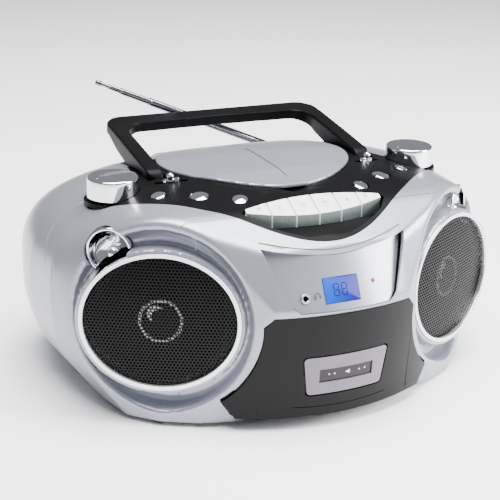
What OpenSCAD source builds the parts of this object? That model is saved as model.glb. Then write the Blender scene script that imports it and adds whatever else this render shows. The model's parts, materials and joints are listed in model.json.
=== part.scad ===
// Portable CD player, cassette deck and radio with a folding carry handle.
// The front faces -Y and up is +Z. The object stands on Z = 0 and is centred on X and Y.
// Lengths are millimetres and angles are degrees.

/* [Casing] */
// Overall width of the casing
body_w = 330; // [326:1:334]
// Height of the crown of the casing above the table
body_top = 143; // [141:1:145]
// Distance of the flat rear face behind the middle
body_rear = 104; // [102:1:106]
// Wall thickness of the moulded shells
wall = 2.6; // [2.2:0.1:3]
// Height of the rubber feet
foot_h = 3; // [2:0.5:4]

/* [Speaker pods] */
// Sideways distance of each speaker centre from the middle
pod_x = 107.4; // [106:0.2:109]
// How far each speaker centre stands in front of the middle
pod_y = -70; // [-71:0.5:-69]
// Height of each speaker centre
pod_z = 71; // [70:0.5:72]
// Outward turn of each speaker
pod_yaw = 28; // [26:0.5:30]
// Upward tilt of each speaker
pod_pitch = 4; // [3:0.5:5]
// Radius of the rounded pod behind its front edge
pod_r = 67; // [66:0.5:68]
// Extra outward turn of the pod's rim, which sinks back at the outer side
rim_yaw = 9; // [7:0.5:11]
// Depth of the dish between the rim and the grille's collar
dish_depth = 8; // [6:0.5:9]
// Half width of the oval grille
grille_a = 51.4; // [50:0.2:52]
// Half height of the oval grille
grille_b = 45; // [44:0.2:46]

/* [Cassette deck] */
// Distance from one cassette key to the next
key_pitch = 16.15; // [15.8:0.05:16.4]
// Forward lean of the cassette door
door_lean = 4; // [3:0.5:5]
// Radius of the curved door and display panel, seen from above
front_r = 150; // [140:2:170]
// Thickness of the door's front wall
door_t = 2.4; // [2:0.1:3]

/* [CD player] */
// Spindle position behind the middle
disc_y = 26; // [25:0.5:27]
// Radius of the well that holds a 120 mm disc
well_r = 62.5; // [61.5:0.5:63]
// Height of the floor of the disc well
well_z = 126; // [125:0.5:126.5]
// Line of the lid's hinge behind the middle
lid_hinge_y = 90; // [89:0.5:91]
// Height of the lid's hinge
lid_hinge_z = 130; // [129:0.5:131]

/* [Handle] */
// Pivot distance behind the middle
handle_y = 19; // [18:0.5:20]
// Height of the handle's pivots
handle_z = 136; // [135:0.5:137]
// Angle of the folded handle above level
handle_rest = 10; // [9.5:0.25:11]
// Reach from the pivots to the middle of the grip
handle_reach = 85; // [83:0.5:86]

/* [Antenna] */
// Angle of the raised antenna above level
antenna_rest = 23.4; // [15:0.2:60]
// Length of the closed antenna from its pivot to its tip
antenna_len = 204; // [190:1:210]

/* [Hidden] */

$fn = 48;
silver = "#c4c8d0";
black = "#161618";
chrome = "#dde0e6";
steel = "#9a9da3";
mid_z = 76;                       // height of the widest section
top_half = body_top - mid_z;      // half height above the widest section
low_half = 93;                    // half height below it, before the flat base cuts it
roundness = 2.8;                  // squareness of the sections
tail_y = 24;                      // where the casing starts to round off to the rear
big = 400;                        // larger than the whole object
nose_y = -119;                    // foremost line of the display panel and the door
nose_z = 80;
panel_lean = 27;                  // backward lean of the display panel
gap = 0.4;                        // clearance between pieces that move past each other
hub_x = 21.25;                    // half the distance between cassette hubs
hub_z = 41;
deck_y = -86;                     // front face of the deck plate
roller_x = -16.4;                 // pinch roller, beside the capstan
key_rod_y = -50;                  // rod that the keys turn on
key_rod_z = 123;
rod_r = 1.5;
door_hinge_y = -102;
door_hinge_z = 14.5;
window_x = 2;                     // the cassette window sits a little right of the middle
antenna_y = 118;
antenna_x = 100;
inlet_x = -100;
antenna_z = 102;
tilt_pin_r = 1.2;
knob_x = 112.7;
knob_y = 3.3;
knob_top = 147;
handle_x = 79.5;                  // middle of each handle arm

// ---- outlines and placements shared by several pieces ----

function power_curve(a, b, n, t) = [a * sign(cos(t)) * pow(abs(cos(t)), 2 / n),
    b * sign(sin(t)) * pow(abs(sin(t)), 2 / n)];

function section(a, up, down, n) = [for (t = [0 : 7.5 : 352.5])
    power_curve(a, t <= 180 ? up : down, n, t)];

// One upright slice of the casing, seen from the front
module slice(y, a, up, down) {
    translate([0, y, mid_z]) rotate([90, 0, 0])
        linear_extrude(0.5) polygon(section(a, up, down, roundness));
}

module on_pod(side) {
    translate([side * pod_x, pod_y, pod_z]) rotate([0, 0, side * pod_yaw])
        rotate([90 - pod_pitch, 0, 0]) children();
}

// Frame of the pod's rim: it turns further outward than the speaker
module on_rim(side) {
    on_pod(side) rotate([0, side * rim_yaw, 0]) translate([0, 0, -4]) children();
}

// Rounded disc of each pod, its front edge softer than its side
module pod_form(side, g) {
    on_rim(side) {
        translate([0, 0, -30]) cylinder(r = pod_r - g, h = 18, $fn = 64);
        translate([0, 0, -30]) cylinder(r = pod_r - 1.5 - g, h = 24, $fn = 64);
        translate([0, 0, -30]) cylinder(r = pod_r - 5 - g, h = 30 - g, $fn = 64);
    }
}

// Shallow dish that surrounds the grille's collar
module dish_form(side, g) {
    r0 = pod_r - 7;
    on_rim(side) rotate_extrude($fn = 64)
        polygon([[0, 30], [r0 + g, 30], [r0 + g, -g], [r0 - 2 + g, -3 - g], [r0 - 7 + g, -dish_depth - g],
            [0, -dish_depth - g]]);
}

// Oval collar that stands up round each grille
module collar_form(side, g) {
    on_pod(side) translate([0, 0, -34]) oval(grille_a + 2.6 - g, grille_b + 2.6 - g, 34.8 - g);
}

// Outer form of the casing, shrunk by g all round
module casing_form(g = 0) {
    wide = body_w / 2 - g;
    intersection() {
        union() {
            difference() {
                hull() {
                    for (side = [-1, 1]) pod_form(side, g);
                    for (t = [0 : 15 : 90])
                        slice(tail_y + (body_rear - g - tail_y) * sin(t), wide - 34 * (1 - cos(t)),
                            top_half - g - 26 * (1 - cos(t)), low_half - 20 * (1 - cos(t)));
                    slice(-12, wide - 4, top_half - g, low_half);
                    translate([0, -90, 109]) rotate([0, 90, 0])
                        cylinder(r = 12 - g, h = 88, center = true);
                    for (x = [-46 : 23 : 46])
                        translate([x, nose_y + front_r - sqrt(pow(front_r, 2) - x * x) + 3, nose_z + 3])
                            cylinder(r = 3 - g / 2, h = 2, $fn = 16);
                    translate([0, 0, foot_h + g]) linear_extrude(4) offset(delta = -g) base_outline();
                }
                for (side = [-1, 1]) dish_form(side, g);
            }
            for (side = [-1, 1]) collar_form(side, g);
        }
        translate([-big / 2, -big / 2, foot_h + g]) cube(big);
    }
}

module base_outline() {
    polygon([[-132, -30], [-125, -57], [-109, -73], [-86, -85], [-66, -91], [66, -91], [86, -85],
        [109, -73], [125, -57], [132, -30], [128, 70], [104, 96], [-104, 96], [-128, 70]]);
}

// The wall of the casing between two depths
module casing_skin(outer, inner) {
    difference() {
        casing_form(outer);
        casing_form(inner);
    }
}

// Front edge of the black top panel: a rounded V in plan
function panel_front(x) = -95 - 58 + sqrt(58 * 58 + pow(1.05 * x, 2));

module panel_outline() {
    tip = 124;
    polygon(concat([for (x = [-tip : 6.2 : tip]) [x, panel_front(x)]],
        [[122, 4], [100, 9], [91, 20], [88, 48], [72, 56], [-72, 56], [-88, 48], [-91, 20],
        [-100, 9], [-122, 4]]));
    for (side = [-1, 1]) translate([side * knob_x, knob_y]) circle(r = 19.4, $fn = 64);
}

// Outline of the CD lid: a pointed oval with a flat front, squared off at its hinge
module lid_outline(g = 0) {
    intersection() {
        union() {
            translate([0, 30]) polygon([for (t = [0 : 6 : 354]) power_curve(70 - g, 69 - g, 1.8, t)]);
            translate([-54 + g, 40]) square([108 - 2 * g, lid_hinge_y - 37.5 - g]);
        }
        translate([-100, -38 + g]) square([200, lid_hinge_y + 42 - 2 * g]);
    }
}

// Curved plate like a slice of a drum, leaning by an angle and pierced by an outline.
// Depth d runs from front to back, and the children are the outline seen from the front.
module curved_plate(lean, d0, d1) {
    intersection() {
        translate([0, nose_y, nose_z]) rotate([lean, 0, 0]) translate([0, front_r, -120])
            difference() {
                cylinder(r = front_r - d0, h = 240, $fn = 180);
                translate([0, 0, -1]) cylinder(r = front_r - d1, h = 242, $fn = 180);
            }
        translate([0, -70, 0]) rotate([90, 0, 0]) linear_extrude(70) children();
    }
}

// Outline of the door: its sides follow the round pods, its corners are clipped
module door_outline(g = 0) {
    r = 61.5 - g;
    side_x = function(z) pod_x - cos(pod_yaw) * sqrt(r * r - pow(z - pod_z, 2));
    right = concat([[67.5 + g, 9.5 - g], [side_x(21.5) + g / 2, 21.5 - g / 2]],
        [for (z = [28 : 7.6 : 74]) [side_x(z), z]], [[47.5 + g / 2, 80.3 + g / 2]]);
    polygon(concat(right, [for (i = [len(right) - 1 : -1 : 0]) [-right[i][0], right[i][1]]]));
}

// Opening for the door, eased where its lower corners rise as it swings open
module door_opening() {
    door_outline(gap);
    translate([0, 1.4]) intersection() {
        door_outline(gap);
        translate([-100, 15]) square([200, 15]);
    }
}

module display_outline(g = 0) {
    polygon([[-36.5 - g, 87], [-31.5, 82.4 - g], [31.5, 82.4 - g], [36.5 + g, 87],
        [51 + g, 120.4 + g], [36, 116.4 + g], [18, 114.2 + g], [0, 113.4 + g], [-18, 114.2 + g],
        [-36, 116.4 + g], [-51 - g, 120.4 + g]]);
}

module window_outline(g = 0) {
    translate([window_x, 0]) polygon([[-27 - g, 25 - g], [27 + g, 25 - g], [29.8 + g, 51.5 + g],
        [-29.8 - g, 51.5 + g]]);
}

// Plan line where the front shell meets the rear shell, following the back of each pod
module front_region() {
    back = 16;
    px = pod_x - back * sin(pod_yaw);
    py = pod_y + back * cos(pod_yaw);
    ex = 200;
    ey = py + (ex - px) * tan(pod_yaw);
    polygon([[-ex, ey], [-px, py], [px, py], [ex, ey], [ex, -200], [-ex, -200]]);
}

// Positions on the curved black top
top_buttons = [[90.5, -22.7, 4.6], [67.5, -35.4, 5.6], [44.2, -47.6, 5]];
function button_z(i) = [137.6, 138, 137.2][i];
button_h = 7;                     // length of a push button below its dome

module button_place(side, i) {
    b = top_buttons[i];
    translate([side * b[0], b[1], button_z(i)]) rotate([8 + 4 * i, side * (12 - 3 * i), 0]) children();
}

module key_lens(g = 0) {
    intersection() {
        translate([0, -58.8 - 205]) circle(r = 205 + g, $fn = 360);
        translate([0, -74.7 + 165]) circle(r = 165 + g, $fn = 360);
        square([98.5 + 2 * g, 300], center = true);
    }
}

// ---- casing ----

module front_shell() {
    color(silver) difference() {
        intersection() {
            casing_skin(0, wall);
            linear_extrude(big) front_region();
        }
        for (side = [-1, 1]) {
            on_pod(side) translate([0, 0, -40]) oval(grille_a + 0.3, grille_b + 0.3, 61);
            port_place(side) translate([0, 0, -8]) cylinder(r = 15.8, h = 29);
        }
        // cassette bay and door opening
        translate([0, -70, 0]) rotate([90, 0, 0]) linear_extrude(90) door_opening();
        // seat of the display panel
        curved_plate(-panel_lean, -9, 2.2) display_outline(gap / 2);
        translate([0, 0, 112]) linear_extrude(40) offset(delta = 0.1) panel_outline();
        // screw holes and drain slots in the underside
        for (x = [-60, 60]) hull() {
            for (z = [-1, 10]) translate([x, -84, z]) cylinder(r = 2.2, h = 1, $fn = 24);
        }
        for (x = [-24 : 24 : 24]) hull() {
            for (dx = [-7, 7]) translate([x + dx, -82, -1]) cylinder(r = 1.2, h = 8, $fn = 16);
        }
    }
}

module rear_shell() {
    color(silver) difference() {
        union() {
            difference() {
                casing_skin(0, wall);
                translate([0, 0, -2]) linear_extrude(big + 2) front_region();
            }
            battery_tray();
        }
        translate([0, 0, 112]) linear_extrude(40) offset(delta = 0.1) panel_outline();
        translate([0, 0, 112]) linear_extrude(40) lid_outline(-0.8);
        for (side = [-1, 1]) {
            handle_slot(side);
            port_place(side) translate([0, 0, -8]) cylinder(r = 15.8, h = 29);
        }
        // battery door opening, cooling slots and the inlet
        translate([0, body_rear, 0]) battery_cut();
        for (x = [-66 : 12 : 66]) hull() {
            for (z = [84, 104]) translate([x, 80, z]) rotate([-90, 0, 0]) cylinder(r = 1.6, h = 60, $fn = 16);
        }
        translate([inlet_x, 80, 40]) rotate([-90, 0, 0]) linear_extrude(60) square([25, 15], center = true);
        translate([antenna_x, 80, antenna_z]) rotate([-90, 0, 0]) cylinder(r = 4.26, h = 60);
        for (x = [-118, 118]) for (z = [36, 112]) translate([x, 60, z]) rotate([-90, 0, 0])
            cylinder(r = 2.1, h = 60, $fn = 24);
    }
}

module handle_slot(side) {
    translate([side * handle_x, handle_y - 11, 124]) translate([-6.6, 0, -4]) cube([13.2, 62, 44]);
}

module battery_cut() {
    translate([-62, -30, 16]) cube([124, 60, 52]);
}

// Open tray for two rows of round cells behind the battery door
module battery_tray() {
    difference() {
        translate([-64, 48, 14]) cube([128, 55, 56]);
        translate([-62, 50, 16]) cube([124, 60, 52]);
    }
}

module top_panel() {
    color(black) difference() {
        union() {
            intersection() {
                casing_skin(0.3, 3);
                translate([0, 0, 100]) linear_extrude(60) offset(delta = -0.1) panel_outline();
            }
            // cup under each knob
            intersection() {
                casing_form(0.6);
                for (side = [-1, 1]) translate([side * knob_x, knob_y, 130.2]) cylinder(r = 19.2, h = 20);
            }
            // bearings for the handle's pins
            for (side = [-1, 1]) for (x = [-7.7, 6.7]) translate([side * handle_x + x, handle_y, 0])
                rotate([90, 0, 90]) linear_extrude(1) translate([-9, 124]) square([18, 14]);
            // floor of the scoop in front of the keys
            intersection() {
                casing_form(0.6);
                translate([0, 0, 118.5]) linear_extrude(20) intersection() {
                    offset(delta = -2) panel_outline();
                    translate([-58, -96]) square([116, 32.5]);
                }
            }
        }
        key_scoop();
        translate([0, 0, 100]) linear_extrude(60) key_lens(0.9);
        translate([0, 0, 100]) linear_extrude(60) lid_outline(-0.8);
        for (side = [-1, 1]) {
            handle_slot(side);
            for (i = [0 : 2]) button_place(side, i) hull() {
                translate([0, 0, -14]) cylinder(r = top_buttons[i][2] + gap, h = 1, $fn = 32);
                translate([0, 0, 10]) cylinder(r = top_buttons[i][2] + gap, h = 1, $fn = 32);
            }
            switch_place(side) hull() {
                for (x = [-9.5, 9.5]) translate([x, 0, -10]) cylinder(r = 2, h = 20, $fn = 16);
            }
            translate([side * knob_x, knob_y, 100]) cylinder(r = 4, h = 60, $fn = 24);
            translate([side * knob_x, knob_y, 132.2]) cylinder(r = 17.9, h = 30, $fn = 64);
            translate([side * handle_x, handle_y, handle_z]) rotate([0, 90, 0])
                cylinder(r = 3.07, h = 17, center = true);
        }
    }
}

// Scooped hollow that slopes down from the keys to the front edge
module key_scoop() {
    intersection() {
        translate([0, 0, 100]) linear_extrude(60) intersection() {
            offset(delta = -3.4) panel_outline();
            polygon([[-52, -66], [52, -66], [30, -100], [-30, -100]]);
        }
        translate([0, -75, 124.5]) rotate([7, 0, 0]) translate([-100, -60, 0]) cube([200, 100, 40]);
    }
}

module switch_place(side) {
    translate([side * 74.1, -2.2, 139.8]) rotate([0, side * 9, side * 18]) children();
}

module display_panel() {
    color(silver) difference() {
        curved_plate(-panel_lean, 0, 1.8) display_outline();
        on_display(-2.5, 94.2) translate([-12.2, -8.2, -12]) cube([24.4, 16.4, 24]);
        on_display(21, 95.8) translate([0, 0, -9]) cylinder(r = 1.56, h = 18);
        on_display(-27, 90.8) translate([0, 0, -9]) cylinder(r = 3.3, h = 18);
    }
}

module on_display(x, z) {
    translate([x, nose_y + (z - nose_z) * tan(panel_lean) + front_r - sqrt(pow(front_r, 2) - x * x), z])
        rotate([90 - panel_lean, 0, 0]) children();
}

module lcd_window() {
    color("#3f7fe0") on_display(-2.5, 94.2) translate([-12, -8, -1.6]) cube([24, 16, 1.4]);
}

module lcd_module() {
    color("#2c6e4b") on_display(-2.5, 94.2) translate([-17, -12, -6.8]) cube([34, 24, 2.4]);
}

module standby_led() {
    color("#7a1420") on_display(21, 95.8) translate([0, 0, -6.2]) {
        cylinder(r = 1.5, h = 6.2, $fn = 32);
        cylinder(r = 2.1, h = 1.5, $fn = 32);
    }
}

module headphone_jack() {
    color(steel) on_display(-27, 90.8) difference() {
        union() {
            translate([0, 0, -4]) cylinder(r = 3.2, h = 4.4);
            translate([-4.5, -4.5, -13]) cube([9, 9, 9.6]);
        }
        translate([0, 0, -11]) cylinder(r = 1.8, h = 20);
    }
}

module port_place(side) {
    on_pod(side) translate([side * 34, 41, -16]) rotate([0, side * rim_yaw, 0]) children();
}

// Bright crescent round the bass port in the upper outer corner of each pod, with a ball in it
module bass_port_trims() {
    color(chrome) for (side = [-1, 1]) difference() {
        port_place(side) {
            translate([0, 0, -7]) difference() {
                cylinder(r = 15.4, h = 9.5);
                translate([-side * 4, -5, 2]) cylinder(r = 12.5, h = 12);
            }
            translate([0, -1, -5.5]) cylinder(r = 4.2, h = 5);
            translate([0, -1, -0.5]) sphere(r = 4.2);
        }
        on_pod(side) translate([0, 0, -40]) oval(grille_a + 3, grille_b + 3, 60);
    }
}

// ---- speakers ----

module oval(a, b, h) {
    scale([1, b / a, 1]) cylinder(r = a, h = h, $fn = 96);
}

module speaker_grilles() {
    color("#1b1b1d") for (side = [-1, 1]) on_pod(side)
        translate([0, 0, -2.2]) oval(grille_a - 2.9, grille_b - 2.9, 1.4);
}

module grille_rings() {
    color(chrome) for (side = [-1, 1]) on_pod(side) translate([0, 0, -5]) difference() {
        oval(grille_a, grille_b, 6.6);
        translate([0, 0, -1]) oval(grille_a - 2.6, grille_b - 2.6, 9);
    }
}

module speaker_baskets() {
    color(steel) for (side = [-1, 1]) on_pod(side) {
        translate([0, 0, -40]) cylinder(r = 20, h = 11);
        difference() {
            translate([0, 0, -29]) cylinder(r1 = 22, r2 = 41, h = 23);
            translate([0, 0, -27]) cylinder(r1 = 20.5, r2 = 39.5, h = 24);
        }
        translate([0, 0, -29]) cylinder(r = 9, h = 6);
    }
}

module speaker_cones() {
    color("#2a2a2c") for (side = [-1, 1]) on_pod(side) {
        difference() {
            translate([0, 0, -22]) cylinder(r1 = 12, r2 = 35, h = 14);
            translate([0, 0, -21.2]) cylinder(r1 = 11.5, r2 = 35, h = 14);
        }
        translate([0, 0, -22]) cylinder(r = 12, h = 1.5);
        translate([0, 0, -29]) intersection() {
            sphere(r = 14.5);
            translate([0, 0, 8.4]) cylinder(r = 11, h = 9);
        }
    }
}

// ---- underside, rear and power ----

module rubber_feet() {
    color("#202022") for (x = [-104, 104], y = [-62, 74]) translate([x, y, 0])
        cylinder(r = 7, h = foot_h);
}

module case_screws() {
    color(steel) {
        for (x = [-60, 60]) translate([x, -84, foot_h]) {
            cylinder(r = 2.1, h = 11, $fn = 24);
        }
        for (x = [-118, 118]) for (z = [36, 112]) translate([x, 76, z]) rotate([-90, 0, 0])
            cylinder(r = 2, h = 21, $fn = 24);
    }
}

module battery_door() {
    color(silver) difference() {
        union() {
            translate([-61.5, body_rear - 2.6, 16.5]) cube([123, 2.5, 51]);
            for (x = [-40, 30]) translate([x, body_rear - 5.5, 17]) cube([10, 4, 3]);
            translate([-12, body_rear - 5.5, 63.5]) cube([24, 4, 3]);
        }
        for (i = [0 : 3]) translate([-12, body_rear - 0.9, 58 - 3 * i]) cube([24, 2, 1.2]);
    }
}

module ac_inlet() {
    color(black) translate([inlet_x, body_rear - 1, 40]) rotate([90, 0, 0]) difference() {
        translate([-12.2, -7.2, -0.6]) cube([24.4, 14.4, 14]);
        translate([0, 0, -2]) linear_extrude(13) socket_middle();
        for (x = [-4.3, 4.3]) translate([x, 0, -2]) cylinder(r = 3.8, h = 13);
    }
}

// Figure-of-eight middle of the mains socket
module socket_middle() {
    square([8.6, 6], center = true);
}

module transformer() {
    color("#5b4a3a") {
        translate([-112, 44, foot_h + wall + 1]) cube([40, 36, 8]);
        translate([-112, 50, foot_h + wall + 8.4]) cube([40, 26, 34]);
        translate([-108, 44, foot_h + wall + 14]) cube([30, 38, 22]);
    }
}

module main_board() {
    color("#2c6e4b") {
        translate([-62, -30, 30]) cube([124, 74, 1.6]);
        translate([-40, 0, 31.6]) cube([18, 18, 3]);
        translate([10, 10, 31.6]) cube([26, 12, 3]);
        for (x = [-50, 42, 55]) translate([x, 26, 31.6]) cylinder(r = 5, h = 16);
        translate([-20, 30, 31.6]) cube([40, 4, 26]);
        for (x = [-56, 56]) for (y = [-24, 38]) translate([x, y, foot_h + wall])
            cylinder(r = 3, h = 30 - foot_h - wall);
    }
}

// ---- CD player ----

module cd_lid() {
    color(silver) {
        intersection() {
            casing_skin(-1.4, 0.9);
            translate([0, 0, 100]) linear_extrude(60) lid_outline(0);
        }
        // collar that keeps the clamp in place
        translate([0, disc_y, 133.4]) difference() {
            cylinder(r = 18.5, h = 9.2);
            translate([0, 0, -1]) cylinder(r = 15.5, h = 12);
        }
        // hinge knuckles
        for (x = [-44, 44]) translate([x, lid_hinge_y, lid_hinge_z]) rotate([0, 90, 0])
            cylinder(r = 3, h = 12, center = true, $fn = 32);
    }
}

module disc_clamp() {
    color("#d8d9dc") translate([0, disc_y, 129.6]) difference() {
        cylinder(r = 15, h = 6.4);
        translate([0, 0, -1]) cylinder(r = 8.5, h = 3.6);
    }
}

module cd_well() {
    color(black) difference() {
        union() {
            intersection() {
                translate([0, disc_y, well_z - 2]) cylinder(r = well_r + 1.8, h = 30);
                casing_form(3.5);
            }
            translate([0, disc_y, well_z - 16]) cylinder(r = 30, h = 14);
        }
        translate([0, disc_y, well_z]) cylinder(r = well_r, h = 30);
        translate([0, disc_y, well_z - 18]) cylinder(r = 28, h = 14);
        translate([0, disc_y, well_z - 20]) cylinder(r = 19, h = 40);
        translate([-56, disc_y - 13, well_z - 20]) cube([56, 26, 40]);
    }
}

module turntable() {
    color("#2b2b2e") translate([0, disc_y, well_z - 7.5]) {
        cylinder(r = 1, h = 4);
        translate([0, 0, 4]) cylinder(r = 14.5, h = 5.5);
        translate([0, 0, 9.5]) cylinder(r1 = 7.4, r2 = 6, h = 3);
    }
}

module spindle_motor() {
    color(steel) translate([0, disc_y, well_z - 22]) difference() {
        cylinder(r = 12, h = 14);
        translate([0, 0, 3]) cylinder(r = 1.05, h = 20);
    }
}

module sled_rods() {
    color(steel) for (y = [-10, 10]) translate([-54, disc_y + y, well_z - 5.6]) rotate([0, 90, 0])
        cylinder(r = 1.2, h = 40);
}

module laser_sled() {
    color("#303438") difference() {
        union() {
            translate([-38, disc_y - 12.4, well_z - 8.4]) cube([16, 24.8, 5.6]);
            translate([-30, disc_y, well_z - 3]) cylinder(r = 4, h = 2.4);
        }
        for (y = [-10, 10]) translate([-50, disc_y + y, well_z - 5.6]) rotate([0, 90, 0])
            cylinder(r = 1.28, h = 40);
    }
}

// ---- cassette deck ----

module cassette_door() {
    color(black) difference() {
        union() {
            curved_plate(door_lean, 0, door_t) door_outline();
            // return walls behind the front wall, set in from its edge
            intersection() {
                difference() {
                    curved_plate(door_lean, door_t / 2, 60) offset(delta = -0.8) door_outline();
                    translate([0, -50, 0]) rotate([90, 0, 0]) linear_extrude(100)
                        offset(delta = -2.2) door_outline();
                }
                translate([-100, -130, 0]) cube([200, 33.5, 72]);
            }
            for (x = [-52, 52]) translate([x, door_hinge_y, door_hinge_z]) rotate([0, 90, 0])
                cylinder(r = 2.6, h = 5, center = true);
        }
        translate([0, -90, 0]) rotate([90, 0, 0]) linear_extrude(60) window_outline();
    }
}

module cassette_window() {
    color("#8d8490") difference() {
        curved_plate(door_lean, 0.4, 3) window_outline(-0.2);
        translate([window_x - 19.2, -130, 33.2]) cube([38.4, 15, 9.4]);
    }
}

// Guides that carry the cassette behind the door
module cassette_holder() {
    color("#26262a") {
        for (side = [-1, 1]) {
            translate([side * 51.2 - 0.6, -102, 17.8]) cube([1.2, 11, 24]);
            translate([side * 49.8 - 2.4, -92.4, 17.8]) cube([4.8, 1.4, 24]);
        }
        translate([-51.8, -100, 17.2]) cube([103.6, 9, 1.2]);
    }
}

module deck_plate() {
    color(steel) difference() {
        union() {
            translate([-56, deck_y, 12]) cube([112, 1.6, 92]);
            // side cheeks carry the rod of the keys
            for (side = [-1, 1]) translate([side * 52.6 - 0.8, 0, 0]) rotate([90, 0, 90])
                linear_extrude(1.6) polygon([[deck_y, 92], [deck_y, 104], [-62, 116], [-54, 126.5],
                    [-46, 126.5], [-46, 117], [-76, 92]]);
            translate([-53, key_rod_y, key_rod_z]) rotate([0, 90, 0]) cylinder(r = rod_r, h = 106);
        }
        for (x = [-hub_x, hub_x]) translate([x, deck_y - 1, hub_z]) rotate([-90, 0, 0])
            cylinder(r = 2.07, h = 5);
        translate([-12, deck_y - 1, 72]) rotate([-90, 0, 0]) cylinder(r = 2.6, h = 5);
        translate([-9, deck_y - 1, 78]) cube([30, 4, 12]);
    }
}

module capstan_flywheel() {
    color("#b9a36a") translate([-12, 0, 72]) rotate([-90, 0, 0]) {
        translate([0, 0, -100]) cylinder(r = 1, h = 35);
        translate([0, 0, -80]) difference() {
            cylinder(r = 19, h = 8);
            translate([0, 0, 3]) rotate_extrude($fn = 96) translate([19, 0]) square([1.8, 2], center = true);
        }
    }
}

module pinch_roller() {
    color("#2b2b2b") translate([roller_x, -98, 79.5]) rotate([-90, 0, 0]) difference() {
        cylinder(r = 4, h = 7);
        translate([0, 0, -1]) cylinder(r = 1.05, h = 9);
    }
}

// Plate with the tape heads that drops onto the tape when a key is pressed
module head_slide() {
    color("#c9cbd0") {
        translate([-26, -89.2, 80.5]) cube([52, 1.2, 11]);
        translate([-3.5, -101, 82]) cube([7, 12.4, 8]);
        translate([12, -100, 82]) cube([6, 11.4, 7]);
        // axle of the pinch roller and the bracket that holds it
        translate([roller_x, -99.4, 79.5]) rotate([-90, 0, 0]) cylinder(r = 1, h = 10.4);
        translate([roller_x - 2, -90.6, 78.5]) cube([4, 2, 6]);
    }
}

module reel(x) {
    translate([x, 0, hub_z]) rotate([-90, 0, 0]) {
        translate([0, 0, -101]) cylinder(r = 3, h = 11);
        for (a = [0 : 60 : 300]) rotate([0, 0, a]) translate([2.6, -0.6, -100]) cube([1.6, 1.2, 9.5]);
        translate([0, 0, -91]) cylinder(r = 9, h = 2.5);
        translate([0, 0, -89]) cylinder(r = 2, h = 8);
        translate([0, 0, -82.5]) cylinder(r = 12, h = 2.5);
    }
}

module supply_reel() {
    color("#e2e2de") reel(-hub_x);
}

module takeup_reel() {
    color("#e2e2de") reel(hub_x);
}

module deck_motor() {
    color(steel) translate([36, -66, 72]) rotate([-90, 0, 0]) difference() {
        cylinder(r = 14, h = 26);
        translate([0, 0, -1]) cylinder(r = 1.06, h = 12);
    }
}

module motor_pulley() {
    color("#b9a36a") translate([36, -80, 72]) rotate([-90, 0, 0]) {
        difference() {
            cylinder(r = 5, h = 8);
            translate([0, 0, 3]) rotate_extrude($fn = 64) translate([5, 0]) square([1.8, 2], center = true);
        }
        cylinder(r = 1, h = 22);
    }
}

// Flat rubber belt round the flywheel and the pulley
module drive_belt() {
    color("#1c1c1c") translate([0, -77, 72]) rotate([90, 0, 0]) linear_extrude(1.2, center = true)
        difference() {
            belt_loop(0.9);
            belt_loop(0.1);
        }
}

module belt_loop(t) {
    hull() {
        translate([-12, 0]) circle(r = 18.2 + t, $fn = 64);
        translate([36, 0]) circle(r = 4.2 + t, $fn = 64);
    }
}

// One key of the row, counted from the left
module deck_key(i) {
    x0 = (i - 3) * key_pitch;
    inner = key_pitch - 0.5;
    slope = 27;
    color("#e9e4e4") {
        intersection() {
            translate([0, 0, 120.5]) linear_extrude(30) key_lens();
            translate([x0 + 0.25, -90, 100]) cube([inner, 60, 60]);
            translate([0, -58.8, 139.7]) rotate([slope, 0, 0]) translate([-100, -80, -60]) cube([200, 160, 60]);
        }
        key_arm(x0 + key_pitch / 2, i);
    }
}

// Arm from the key cap back to the rod
module key_arm(x, i) {
    w = (i == 0 || i == 5) ? 7 : 11;
    dx = (i == 0) ? 2.5 : (i == 5) ? -2.5 : 0;
    difference() {
        union() {
            translate([x + dx - w / 2, -68, 120.5]) cube([w, 18, 5]);
            translate([x + dx - w / 2, key_rod_y, key_rod_z]) rotate([0, 90, 0]) cylinder(r = 3.2, h = w);
        }
        translate([x - 10, key_rod_y, key_rod_z]) rotate([0, 90, 0]) cylinder(r = rod_r + 0.08, h = 20);
    }
}

module record_key() { deck_key(0); }
module play_key() { deck_key(1); }
module rewind_key() { deck_key(2); }
module forward_key() { deck_key(3); }
module stop_key() { deck_key(4); }
module pause_key() { deck_key(5); }

// ---- controls ----

module rotary_knob(side) {
    color(chrome) translate([side * knob_x, knob_y, 0]) difference() {
        union() {
            translate([0, 0, knob_top - 14.2]) rotate_extrude($fn = 96)
                polygon([[0, 0], [17.3, 0], [16.7, 12.6], [15.8, 13.6], [13, 14], [0, 14.2]]);
            translate([0, 0, 124]) cylinder(r = 3.4, h = 12);
        }
        translate([0, 0, knob_top - 16]) difference() {
            cylinder(r = 15, h = 8);
            cylinder(r = 5, h = 9);
        }
    }
}

module volume_knob() { rotary_knob(-1); }
module tuning_knob() { rotary_knob(1); }

module slide_switch(side) {
    color(chrome) switch_place(side) {
        translate([-5.5, -1.6, -5]) cube([11, 3.2, 7]);
        translate([0, 0, 2]) cylinder(r = 2.6, h = 2.2, $fn = 32);
        translate([0, 0, 4.2]) intersection() {
            sphere(r = 2.6, $fn = 32);
            cylinder(r = 3, h = 3, $fn = 32);
        }
    }
}

module function_switch() { slide_switch(-1); }
module band_switch() { slide_switch(1); }

module push_button(side, i) {
    r = top_buttons[i][2];
    dome = 3 * r;
    color(chrome) button_place(side, i) {
        translate([0, 0, 1 - button_h]) cylinder(r = r, h = button_h, $fn = 48);
        translate([0, 0, 1]) intersection() {
            cylinder(r = r, h = 4, $fn = 48);
            translate([0, 0, -sqrt(dome * dome - r * r)]) sphere(r = dome, $fn = 64);
        }
        translate([0, 0, -button_h]) cylinder(r = r + 1.4, h = 1.4, $fn = 48);
    }
}

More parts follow.
